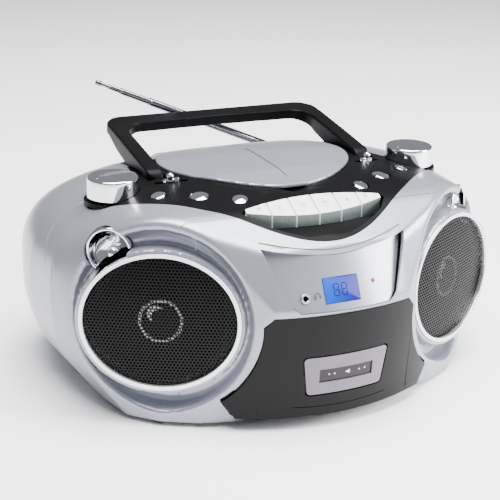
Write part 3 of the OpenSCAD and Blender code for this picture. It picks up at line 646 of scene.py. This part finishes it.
def front_shell():
    shell = boolean(shell_blank(), front_part(0.22), "INTERSECT")
    cut_front_openings(shell)
    eased = boolean(prism(door_outline(GAP), 70, 160, FACING @ move(0, 1.4, 0)),
                    block(-100, -200, 15, 100, 0, 30), "INTERSECT")
    boolean(shell, [prism(door_outline(GAP), 70, 160, FACING), eased,
                    curved_plate(-PANEL_LEAN, -9, 2.2, display_outline(GAP / 2)), band_groove(0.6)])
    boolean(shell, [prism(circle(x, -84, 2.2, 24), -1, 11) for x in (-60, 60)])
    finish(shell, "front_shell_skin", MATS["silver"], "casing", ["front_shell"])


def rear_shell():
    shell = boolean(shell_blank(), front_part(-0.22))
    cut_front_openings(shell)
    cuts = [lid_prism(112, 160, -0.8)] + handle_slots() + [pod_groove(side, 0.55) for side in (-1, 1)]
    cuts.append(block(-62, 74, 16, 62, 134, 68))
    for k in range(12):
        x = -66 + 12 * k
        slot = circle(x, 104, 1.6, 12, 0, 180) + circle(x, 84, 1.6, 12, 180, 180)
        cuts.append(prism(slot, -60, -140, FACING))
    cuts.append(block(INLET_X - 12.5, 80, 32.5, INLET_X + 12.5, 140, 47.5))
    cuts.append(lathe([(0, 60), (4.26, 60), (4.26, 140), (0, 140)], 48, move(100, 0, 102) @ rx(-90)))
    cuts += [lathe([(0, 60), (2.1, 60), (2.1, 140), (0, 140)], 32, move(x, 0, z) @ rx(-90))
             for x in (-118, 118) for z in (36, 112)]
    boolean(shell, cuts)
    finish(shell, "rear_shell_skin", MATS["silver"], "casing", ["rear_shell"])


def battery_tray():
    tray = block(-64, 48, 14, 64, 101, 70)
    boolean(tray, block(-62, 50, 16, 62, 110, 68))
    finish(tray, "battery_tray", MATS["dark_plastic"], "casing", slot="dark_plastic")


front_shell()
rear_shell()
battery_tray()


# ---- black top panel, lid and disc well ----

def top_panel():
    panel = boolean(shrunk(0.3), block(-200, -110, 112, 200, 70, 160), "INTERSECT")
    boolean(panel, panel_prism(100, 161, -0.15), "INTERSECT")
    boolean(panel, shrunk(3))
    floor = boolean(shrunk(0.6), block(-56, -95, 118.5, 56, -63.5, 150), "INTERSECT")
    boolean(floor, panel_prism(100, 161, -2), "INTERSECT")
    boolean(panel, floor, "UNION")
    scoop = prism([(x, panel_front(x) + 3.2) for x in (-44 + 88 * k / 40 for k in range(41))]
                  + [(52, -66), (-52, -66)], 100, 160)
    boolean(scoop, block(-100, -60, 0, 100, 40, 40, move(0, -75, 124.5) @ rx(7)), "INTERSECT")
    thumb = lathe([(0, -22)] + [(22 * math.cos(math.radians(t)), 22 * math.sin(math.radians(t)))
                                for t in range(-84, 90, 6)] + [(0, 22)], 64, move(-2, -38, 158.6))
    cuts = [scoop, prism(key_lens(0.9), 100, 160), lid_prism(100, 160, -0.8), thumb] + handle_slots()
    for side in (-1, 1):
        for i, (x, y, r, z) in enumerate(BUTTONS):
            cuts.append(lathe([(0, -14), (r + 0.5, -14), (r + 0.5, -0.9), (r + 1.5, 10), (0, 10)], 64,
                              button_place(side, i)))
        slot = circle(9.5, 0, 2, 12, -90, 180) + circle(-9.5, 0, 2, 12, 90, 180)
        cuts.append(prism(slot, -10, 10, switch_place(side)))
        cuts.append(prism(circle(side * KNOB_X, KNOB_Y, 17.9, 96), 100, 160))
    boolean(panel, cuts)
    finish(panel, "top_panel_skin", MATS["black_satin"], "casing", ["top_panel"])
    for side, name in ((-1, "left"), (1, "right")):
        cup = lathe([(4, 129), (19.2, 129), (19.2, 131.4), (4, 131.4)], 96, move(side * KNOB_X, KNOB_Y, 0))
        finish(cup, "knob_cup_" + name, MATS["black_satin"], "casing", slot="black_satin")


def cd_lid():
    lid = boolean(shrunk(-1.4), block(-90, -60, 112, 90, 110, 160), "INTERSECT")
    boolean(lid, lid_prism(100, 160), "INTERSECT")
    boolean(lid, shrunk(0.9))
    remesh(lid, 0.62, smooth=4, keep=0.45)
    slit = prism([(-0.45, -26), (0.45, -26), (1.0, 20), (1.6, 44), (-1.6, 44), (-1.0, 20)], 100, 160)
    boolean(slit, shrunk(-0.55))
    boolean(lid, slit)
    ring = lathe([(15.5, 133.4), (18.5, 133.4), (18.5, 142.4), (15.5, 142.4)], 96, move(0, DISC_Y, 0))
    knuckles = [lathe([(0, -6), (3, -6), (3, 6), (0, 6)], 32, move(x, LID_HINGE_Y, LID_HINGE_Z) @ ry(90))
                for x in (-44, 44)]
    boolean(lid, [ring] + knuckles, "UNION")
    finish(lid, "lid_shell", MATS["silver"], "cd_lid", ["cd_lid"])


# ---- door and display ----

def window_outline(g=0.0, corner=2.6):
    """A slightly flared window with rounded corners."""
    corners = [(-27 - g, 25 - g), (27 + g, 25 - g), (29.8 + g, 51.5 + g), (-29.8 - g, 51.5 + g)]
    starts = [180, 270, 0, 90]
    points = []
    r = corner + g / 2
    for (x, z), a0 in zip(corners, starts):
        cx = x - math.copysign(r, x)
        cz = z - math.copysign(r, z - 38)
        points += [(px + WINDOW_X, pz) for px, pz in circle(cx, cz, r, 8, a0, 90)]
    return points


def cassette_door():
    door = curved_plate(DOOR_LEAN, 0, DOOR_T, door_outline())
    bevel(door, 0.7, 3, 40)
    walls = curved_plate(DOOR_LEAN, DOOR_T / 2, 60, door_outline(-0.8))
    boolean(walls, [prism(door_outline(-2.2), 50, 150, FACING)])
    boolean(walls, block(-100, -130, 0, 100, -96.5, 72), "INTERSECT")
    boolean(door, walls, "UNION")
    boolean(door, [lathe([(0, -2.5), (2.6, -2.5), (2.6, 2.5), (0, 2.5)], 32, move(x, -102, 14.5) @ ry(90))
                   for x in (-52, 52)], "UNION")
    boolean(door, prism(window_outline(1.0), 90, 150, FACING))
    line = [(x, 15.6 + 3.4 * (x / 60) ** 2) for x in (-34 + 68 * k / 32 for k in range(33))]
    groove = prism(line + [(x, z + 0.5) for x, z in reversed(line)], 90, 150, FACING)
    boolean(groove, curved_plate(DOOR_LEAN, 0.45, 30, [(-80, 5), (80, 5), (80, 40), (-80, 40)]))
    boolean(door, groove)
    finish(door, "cassette_door_panel", MATS["black_gloss"], "cassette_door", ["cassette_door"])


def cassette_window():
    frame_piece = curved_plate(DOOR_LEAN, -0.1, 3, window_outline(-0.1))
    bevel(frame_piece, 0.55, 3, 40)
    opening = [(WINDOW_X - 19.2, 33.2), (WINDOW_X + 19.2, 33.2), (WINDOW_X + 19.2, 42.6),
               (WINDOW_X - 19.2, 42.6)]
    recess = curved_plate(DOOR_LEAN, -4, 1.1, opening)
    boolean(frame_piece, recess)
    finish(frame_piece, "cassette_window_frame", MATS["window"], "cassette_door", ["cassette_window"])
    view = curved_plate(DOOR_LEAN, 0.8, 1.4, [(x + math.copysign(0.2, x - WINDOW_X), z) for x, z in opening])
    finish(view, "tape_view", MATS["window_dark"], "cassette_door", slot="window")
    marks = []
    for x in (-11.2, -7.4, 10.4, 14.6):
        marks.append(curved_plate(DOOR_LEAN, 0.7, 1.0, circle(WINDOW_X + x - 1, 38.3, 0.55, 20)))
    x = WINDOW_X + 1.2
    marks.append(curved_plate(DOOR_LEAN, 0.7, 1.0, [(x - 2.2, 38.3), (x + 1.2, 36.9), (x + 1.2, 39.7)]))
    first = marks[0]
    boolean(first, marks[1:], "UNION")
    finish(first, "tape_marks", MATS["mark_white"], "cassette_door", slot="window")


def display_place(x, z):
    y = nose(x) + (z - NOSE_Z) * math.tan(math.radians(PANEL_LEAN))
    return move(x, y, z) @ rx(90 - PANEL_LEAN)


def rounded_box(w, h, r, low, high, at=Matrix.Identity(4)):
    outline = []
    for sx, sy, a0 in ((1, 1, 0), (-1, 1, 90), (-1, -1, 180), (1, -1, 270)):
        outline += circle(sx * (w / 2 - r), sy * (h / 2 - r), r, 6, a0, 90)
    return prism(outline, low, high, at)


SEGMENTS = {"a": (0, 1, 1), "b": (1, 0.5, 0), "c": (1, -0.5, 0), "d": (0, -1, 1), "e": (-1, -0.5, 0),
            "f": (-1, 0.5, 0), "g": (0, 0, 1)}


def digit(x, y, w, h, low, high, at):
    """All seven segments of one display digit."""
    bars = []
    for sx, sy, flat in SEGMENTS.values():
        cx, cy = x + sx * w / 2, y + sy * h / 2
        if flat:
            bars.append(block(cx - w / 2 + 0.35, cy - 0.28, low, cx + w / 2 - 0.35, cy + 0.28, high, at))
        else:
            bars.append(block(cx - 0.28, cy - h / 4 + 0.35, low, cx + 0.28, cy + h / 4 - 0.35, high, at))
    return join(bars)


def join(objs):
    """Puts several separate meshes into one object."""
    bm = bmesh.new()
    for o in objs:
        bm.from_mesh(o.data)
    drop(*objs)
    return from_bmesh("joined", bm)


def display():
    plate = curved_plate(-PANEL_LEAN, 0, 1.8, display_outline(-0.15))
    bevel(plate, 0.5, 3, 40)
    lcd, led, jack = display_place(-2.5, 94.2), display_place(21, 95.8), display_place(-27, 90.8)
    boolean(plate, [rounded_box(24.6, 16.6, 0.4, -12, 12, lcd)])
    boolean(plate, [lathe([(0, -9), (1.56, -9), (1.56, 9), (0, 9)], 32, led),
                    lathe([(0, -9), (3.3, -9), (3.3, 9), (0, 9)], 48, jack)])
    finish(plate, "display_panel_plate", MATS["silver"], "casing", ["display_panel"])
    glass = rounded_box(24.2, 16.2, 0.4, -1.6, -0.3, lcd)
    bevel(glass, 0.25, 2, 40)
    finish(glass, "lcd_glass", MATS["lcd"], "casing", ["lcd_window"])
    low, high = -0.32, -0.24
    digits = [digit(x, 0, 3.4, 7.6, low, high, lcd) for x in (-3.6, 2.0)]
    finish(join(digits), "lcd_digits", MATS["lcd_dark"], "casing", slot="lcd")
    lamp = lathe([(0, -6), (1.45, -6), (1.45, -0.3), (0.9, 0.1), (0, 0.25)], 32, led)
    finish(lamp, "standby_lamp", MATS["led"], "casing", ["standby_led"])
    nut = lathe([(1.8, -13), (3.2, -13), (3.2, 0.2), (2.9, 0.5), (2.2, 0.5), (1.8, 0.1)], 48, jack)
    finish(nut, "headphone_socket", MATS["steel"], "casing", ["headphone_jack"])
    # A near-black cylinder inside the socket's bore is painted shade: it stands for the dark inside the hole.
    socket_shade_fill = lathe([(0, -12), (1.9, -12), (1.9, -4), (0, -4)], 32, jack)
    finish(socket_shade_fill, "headphone_socket_painted_shade", MATS["black_and_painted_hollow_shade"], "casing", slot="dark_plastic")
    icon = display_place(-19.2, 91.6)
    arch = [(2.0 * math.cos(math.radians(t)), 0.2 + 2.0 * math.sin(math.radians(t))) for t in range(0, 181, 15)]
    arch += [(1.45 * math.cos(math.radians(t)), 0.2 + 1.45 * math.sin(math.radians(t)))
             for t in range(180, -1, -15)]
    phones = [prism(arch, 0.02, 0.14, icon), block(-2.3, -1.6, 0.02, -1.1, 0.4, 0.14, icon),
              block(1.1, -1.6, 0.02, 2.3, 0.4, 0.14, icon)]
    finish(join(phones), "headphone_icon", MATS["mark_dark"], "casing", slot="dark_plastic")


# ---- speakers ----

def perforated_grille(side, pitch=2.3, hole=0.84):
    """A domed sheet with round holes in a hexagonal pattern, to the edge of its oval."""
    a, b = GRILLE_A - 1.2, GRILLE_B - 1.2
    at = on_pod(side)
    bm = bmesh.new()
    row = pitch * math.sqrt(3) / 2
    apothem = pitch / 2
    reach = apothem / math.cos(math.radians(30))
    for j in range(-int(b / row), int(b / row) + 1):
        for i in range(-int(a / pitch) - 1, int(a / pitch) + 2):
            x, y = (i + (j % 2) / 2) * pitch, j * row
            if (x / a) ** 2 + (y / b) ** 2 > 0.955:
                continue
            outer, inner = [], []
            for k in range(12):
                t = math.radians(30 * k + 30)
                r = reach if k % 2 == 0 else apothem
                for ring, d in ((outer, r), (inner, hole)):
                    px, py = x + d * math.cos(t), y + d * math.sin(t)
                    dome = 2.0 * max(0.0, 1 - (px / a) ** 2 - (py / b) ** 2)
                    ring.append(bm.verts.new(at @ Vector((px, py, dome - 1.4))))
            for k in range(12):
                n = (k + 1) % 12
                bm.faces.new((outer[k], outer[n], inner[n], inner[k]))
    bmesh.ops.remove_doubles(bm, verts=bm.verts, dist=0.02)
    grille = from_bmesh("grille", bm)
    if grille.data.polygons[0].normal.y > 0:
        grille.data.flip_normals()
    mod = grille.modifiers.new("sheet", "SOLIDIFY")
    mod.thickness = 0.55
    mod.offset = -1
    return apply_modifiers(grille)


def speakers():
    for side, name in ((-1, "left"), (1, "right")):
        stands = ["speaker_grilles"] if side < 0 else []
        finish(perforated_grille(side), "grille_" + name, MATS["speaker_mesh"], "casing", stands,
               slot="speaker_mesh", angle=50)
        ring = oval_tube(GRILLE_A, GRILLE_B, 2.5, -5, 1.6, on_pod(side), corner=1.1)
        finish(ring, "grille_ring_" + name, MATS["ring"], "casing", ["grille_rings"] if side < 0 else [],
               slot="chrome")
        cap = [(0, -5.2)] + [(10.5 * math.sin(math.radians(t)), -9 + 3.8 * math.cos(math.radians(t)))
                             for t in range(15, 91, 15)] + [(10.5, -10), (0, -10)]
        finish(lathe(cap, 64, on_pod(side)), "dust_cap_" + name, MATS["paper_cone"], "casing",
               slot="paper_cone")
        trim = [(13.3 + 1.1 * math.cos(math.radians(t)), -3.6 + 1.1 * math.sin(math.radians(t)))
                for t in range(0, 360, 30)]
        finish(lathe(trim, 96, on_pod(side)), "cap_ring_" + name, MATS["glint"], "casing", slot="chrome")
        # The pale crescent at the upper left of each dust cap is a painted highlight: it stands for the dome's
        # reflection seen through the grille holes.
        spot = [(0, -3.9), (5.2, -3.9), (5.6, -4.4), (0, -4.4)]
        glint = lathe(spot, 48, on_pod(side) @ move(-3.5, 4.5, 0))
        boolean(glint, prism(circle(3.2, -2.6, 5.6, 48), -6, -2, on_pod(side) @ move(-3.5, 4.5, 0)))
        finish(glint, "cap_glint_" + name, MATS["glint"], "casing", slot="chrome")


def bass_ports():
    for side, name in ((-1, "left"), (1, "right")):
        at = on_port(side)
        bowl = [(15.3, -6)]
        for t in range(0, 181, 20):
            bowl.append((14.1 + 1.2 * math.cos(math.radians(t)), 1.6 + 1.2 * math.sin(math.radians(t))))
        for t in range(0, 91, 10):
            bowl.append((12.6 * math.cos(math.radians(t)), 0.8 - 7 * math.sin(math.radians(t))))
        bowl += [(0, -9), (15.3, -9)]
        ball = [(0, -7)] + [(4.8 * math.sin(math.radians(t)), -2.2 - 4.8 * math.cos(math.radians(t)))
                            for t in range(30, 180, 10)] + [(0, 2.6)]
        port = lathe(bowl, 96, at)
        boolean(port, lathe(ball, 64, at @ move(-side * 2, -2, 0)), "UNION")
        oval = [((GRILLE_A + 3) * math.cos(t), (GRILLE_B + 3) * math.sin(t))
                for t in (2 * math.pi * k / 128 for k in range(128))]
        boolean(port, prism(oval, -40, 20, on_pod(side)))
        finish(port, "bass_port_" + name, MATS["chrome"], "casing",
               ["bass_port_trims"] if side < 0 else [], slot="chrome")


# ---- controls ----

def knobs():
    for side, name in ((-1, "volume_knob"), (1, "tuning_knob")):
        at = move(side * KNOB_X, KNOB_Y, KNOB_TOP)
        low = -14.0
        profile = [(3.4, low + 4), (14.8, low + 4), (15.2, low), (17.0, low), (17.3, low + 0.4)]
        profile += [(17.3 - 0.5 * k / 4, low + 0.4 + 11.8 * k / 4) for k in (1, 2, 3, 4)]
        profile += [(16.8 - 1.4 * (1 - math.cos(math.radians(t))), -1.8 + 1.4 * math.sin(math.radians(t)))
                    for t in (20, 40, 60, 80)]
        profile += [(r, -0.35 + 0.35 * (1 - (r / 14.6) ** 2)) for r in (14.6, 11, 7, 3)]
        profile += [(0, 0), (0, -23), (3.4, -23)]
        knob = lathe(profile, 160, at)
        ticks = [block(-0.14, 10.6, -0.4, 0.14, 12.6 if k % 3 else 13.2, 0.3, at @ rz(24 * k - 108))
                 for k in range(10)]
        boolean(knob, ticks)
        finish(knob, name + "_cap", MATS["chrome"], name, [name])


def buttons():
    names = {-1: ("program_button", "display_button", "back_button"),
             1: ("repeat_button", "cd_play_button", "skip_button")}
    for side in (-1, 1):
        for i, (x, y, r, z) in enumerate(BUTTONS):
            dome = [(r * math.sin(math.radians(t)) * 0.999, 0.9 + 0.19 * r * math.cos(math.radians(t)) ** 1.4)
                    for t in (85, 70, 55, 40, 25, 12)]
            profile = [(0, -7), (r + 1.4, -7), (r + 1.4, -5.6), (r, -5.6), (r, 0.6)] + dome
            profile += [(0, 0.9 + 0.19 * r)]
            button = lathe(profile, 72, button_place(side, i))
            name = names[side][i]
            finish(button, name + "_cap", MATS["chrome"], name, [name])
            if i == 1:
                rim = [(r + 0.75 + 0.55 * math.cos(math.radians(t)), -0.1 + 0.55 * math.sin(math.radians(t)))
                       for t in range(0, 360, 30)]
                finish(lathe(rim, 72, button_place(side, i)), name + "_rim", MATS["chrome"], "casing",
                       slot="chrome")


def slide_switches():
    for side, name in ((-1, "function_switch"), (1, "band_switch")):
        at = switch_place(side)
        bar = rounded_box(11, 3.2, 1.2, -5, 2.1, at)
        bevel(bar, 0.4, 2, 40)
        nub = [(0, 1)] + [(2.4, 1), (2.2, 2.4), (2.45, 3.4)]
        nub += [(2.6 * math.cos(math.radians(t)), 3.9 + 2.5 * math.sin(math.radians(t)))
                for t in range(0, 85, 15)] + [(0, 6.4)]
        boolean(bar, lathe(nub, 48, at), "UNION")
        finish(bar, name + "_lever", MATS["chrome"], name, [name])


KEY_SLOPE = 27
KEY_NAMES = ["record_key", "play_key", "rewind_key", "forward_key", "stop_key", "pause_key"]


def key_symbol(i, at, low, high):
    """The usual transport symbols: dot, arrow, double arrows, square over bar, and two bars."""
    arrow = [(-1.1, -1.2), (1.1, 0), (-1.1, 1.2)]
    if i == 0:
        return [prism(circle(0, 0, 1.2, 24), low, high, at)]
    if i == 1:
        return [prism(arrow, low, high, at)]
    if i in (2, 3):
        turn = -1 if i == 2 else 1
        return [prism([(turn * x * 0.8 + dx, y * 0.9) for x, y in arrow], low, high, at) for dx in (-0.9, 0.9)]
    if i == 4:
        return [block(-1.1, -0.9, low, 1.1, 1.1, high, at), block(-1.1, -1.6, low, 1.1, -1.2, high, at)]
    return [block(-1.1, -1.2, low, -0.35, 1.2, high, at), block(0.35, -1.2, low, 1.1, 1.2, high, at)]


def deck_keys():
    for i, name in enumerate(KEY_NAMES):
        x0 = (i - 3) * KEY_PITCH
        mid = x0 + KEY_PITCH / 2
        key = prism(key_lens(), 120.5, 150)
        boolean(key, block(x0 + 0.3, -90, 100, x0 + KEY_PITCH - 0.3, -30, 160), "INTERSECT")
        slope = move(0, -58.8, 139.7) @ rx(KEY_SLOPE)
        boolean(key, block(-100, -80, -60, 100, 160, 0, slope), "INTERSECT")
        bevel(key, 0.45, 3, 40)
        lean = {0: 3.2, 5: -3.2}.get(i, 0)
        place = slope @ move(mid + lean * 0.6, -7.6 if i in (1, 2, 3, 4) else -6.6, 0)
        ball = 9.0
        dish_cut = lathe([(0, -ball)] + [(ball * math.cos(math.radians(t)), ball * math.sin(math.radians(t)))
                                         for t in range(-84, 90, 6)] + [(0, ball)], 48,
                         place @ move(0, 0, ball - 0.55))
        boolean(key, dish_cut)
        w = 7 if i in (0, 5) else 11
        dx = {0: 2.5, 5: -2.5}.get(i, 0)
        boolean(key, block(mid + dx - w / 2, -68, 120.5, mid + dx + w / 2, -50, 125.5), "UNION")
        boolean(key, lathe([(0, -w / 2), (3.2, -w / 2), (3.2, w / 2), (0, w / 2)], 32,
                           move(mid + dx, -50, 123) @ ry(90)), "UNION")
        finish(key, name + "_cap", None, name, [name])
        key.data.materials.clear()
        key.data.materials.append(MATS["key_plastic"])
        key.data.materials.append(MATS["key_front"])
        for face in key.data.polygons:
            if face.normal.y < -0.8 and face.center.z < 0.1345:
                face.material_index = 1
        marks = key_symbol(i, place, -0.62, -0.36)
        finish(join(marks), name + "_mark", MATS["mark_grey"], name, slot="key_plastic")


# ---- handle and antenna ----

def carry_handle():
    handle = copy_of(NODES["carry_handle"])
    handle.data.transform(Matrix.Scale(1000, 4))
    tidy_mesh(handle)
    remesh(handle, 0.8, smooth=8, keep=0.4)
    finish(handle, "handle_grip", MATS["black_satin"], "carry_handle", ["carry_handle"])


def antenna():
    at = move(*ANTENNA) @ ry(-(90 - 23.4))
    rods = [(3.0, 2.45, 7, 159), (2.38, 1.9, 12, 184), (1.83, 1.3, 16, 194), (1.23, 0, 20, 201)]
    for k, (r, bore, low, high) in enumerate(rods):
        name = "antenna_stage_%d" % (k + 1)
        tip = [(r, high - 1.6), (r - 0.15, high - 1.2), (r - 0.15, high - 0.8), (r, high - 0.4)]
        tip.append((r - 0.3, high))
        profile = [(0, low), (r, low)] + tip
        profile += [(bore, high), (bore, low + 2), (0, low + 2)] if bore else [(0, high)]
        rod = lathe(profile, 48, at)
        if k == 0:
            eye = lathe([(0, -2.9), (2.9, -2.9), (2.9, 2.9), (0, 2.9)], 32, at @ ry(90))
            neck = lathe([(0, 0), (2.6, 0), (2.6, 8), (0, 8)], 32, at)
            boolean(rod, [eye, neck], "UNION")
            boolean(rod, lathe([(0, -5), (1.27, -5), (1.27, 5), (0, 5)], 32, at @ ry(90)))
        if k == 3:
            knurl = [(0, 199.6), (1.7, 199.6), (2.0, 200)]
            for n in range(5):
                knurl += [(2.0, 200 + 0.6 * n), (1.75, 200.3 + 0.6 * n)]
            knurl += [(2.0, 203), (1.7, 203.8), (0, 204)]
            boolean(rod, lathe(knurl, 40, at), "UNION")
        finish(rod, name + "_tube", MATS["antenna"], name, [name])


def small_cad_piece(node, name, width, material=None):
    """The CAD mesh of a small piece with its edges rounded."""
    piece = copy_of(NODES[node])
    piece.data.transform(Matrix.Scale(1000, 4))
    tidy_mesh(piece)
    bevel(piece, width, 2, 45)
    finish(piece, name, material or MATS[PLAIN[SLOT_OF[node]]], BODY_OF[node], [node], angle=40)


PLAIN = {"silver": "silver", "black_satin": "black_satin", "black_gloss": "black_gloss", "chrome": "chrome",
         "steel": "steel", "key_plastic": "key_plastic", "window": "window", "rubber": "rubber", "led": "led",
         "speaker_mesh": "speaker_mesh", "paper_cone": "paper_cone", "board": "board", "iron": "iron",
         "white_plastic": "white_plastic", "brass": "brass", "dark_plastic": "dark_plastic", "lcd": "lcd"}

top_panel()
cd_lid()
cassette_door()
cassette_window()
display()
speakers()
bass_ports()
knobs()
buttons()
slide_switches()
deck_keys()
carry_handle()
antenna()
for node, width in (("battery_door", 0.4), ("rubber_feet", 0.5), ("antenna_yoke", 0.3)):
    small_cad_piece(node, node + "_part", width)

# The speaker baskets get the near-black material: black paint with painted shade, so the grille holes look
# dark.
for node, obj in NODES.items():
    obj.data.materials.clear()
    obj.data.materials.append(MATS["black_and_painted_hollow_shade" if node == "speaker_baskets" else PLAIN[SLOT_OF[node]]])
drop(SOLID, INNER, *SHRUNK.values())

# ---- camera, floor and lights ----

def camera():
    a, e, roll = (math.radians(v) for v in (24.73, 20.30, 1.30))
    forward = Vector((math.sin(a) * math.cos(e), math.cos(a) * math.cos(e), -math.sin(e)))
    right = Vector((math.cos(a), -math.sin(a), 0))
    up = right.cross(forward)
    c, s = math.cos(roll), math.sin(roll)
    right, up = c * right + s * up, -s * right + c * up
    data = bpy.data.cameras.new("camera")
    data.lens = 85.3
    data.sensor_width = 36
    data.shift_x = 0.004
    cam = bpy.data.objects.new("camera", data)
    bpy.context.scene.collection.objects.link(cam)
    frame_axes = Matrix((right, up, -forward)).transposed().to_4x4()
    cam.matrix_world = Matrix.Translation((-0.3415, -0.7071, 0.3710)) @ frame_axes
    bpy.context.scene.camera = cam


def area_light(name, place, target, size, power, colour=(1, 1, 1)):
    data = bpy.data.lights.new(name, "AREA")
    data.shape = "RECTANGLE"
    data.size, data.size_y = size
    data.energy = power
    data.color = colour
    light = bpy.data.objects.new(name, data)
    bpy.context.scene.collection.objects.link(light)
    light.location = place
    light.rotation_euler = (Vector(target) - Vector(place)).to_track_quat("-Z", "Y").to_euler()


def stage():
    bm = bmesh.new()
    bmesh.ops.create_grid(bm, x_segments=8, y_segments=8, size=3)
    floor = from_bmesh("floor", bm)
    mat, tree, bsdf = shader("pale_floor", (0.92, 0.92, 0.93), 0, 0.7)
    tree.links.new(ramp(tree, noise(tree, 3, 2.0), (0.91, 0.91, 0.92), (0.94, 0.94, 0.95)),
                   bsdf.inputs["Base Color"])
    floor.data.materials.append(mat)
    world = bpy.data.worlds.new("studio")
    world.use_nodes = True
    world.node_tree.nodes["Background"].inputs[0].default_value = (0.90, 0.94, 1.0, 1)
    world.node_tree.nodes["Background"].inputs[1].default_value = 0.32
    bpy.context.scene.world = world
    area_light("key", (1.25, -0.75, 0.75), (0, 0, 0.08), (0.7, 0.7), 62)
    area_light("top", (0.05, -0.1, 1.6), (0, 0, 0), (1.6, 1.2), 130)


camera()
stage()
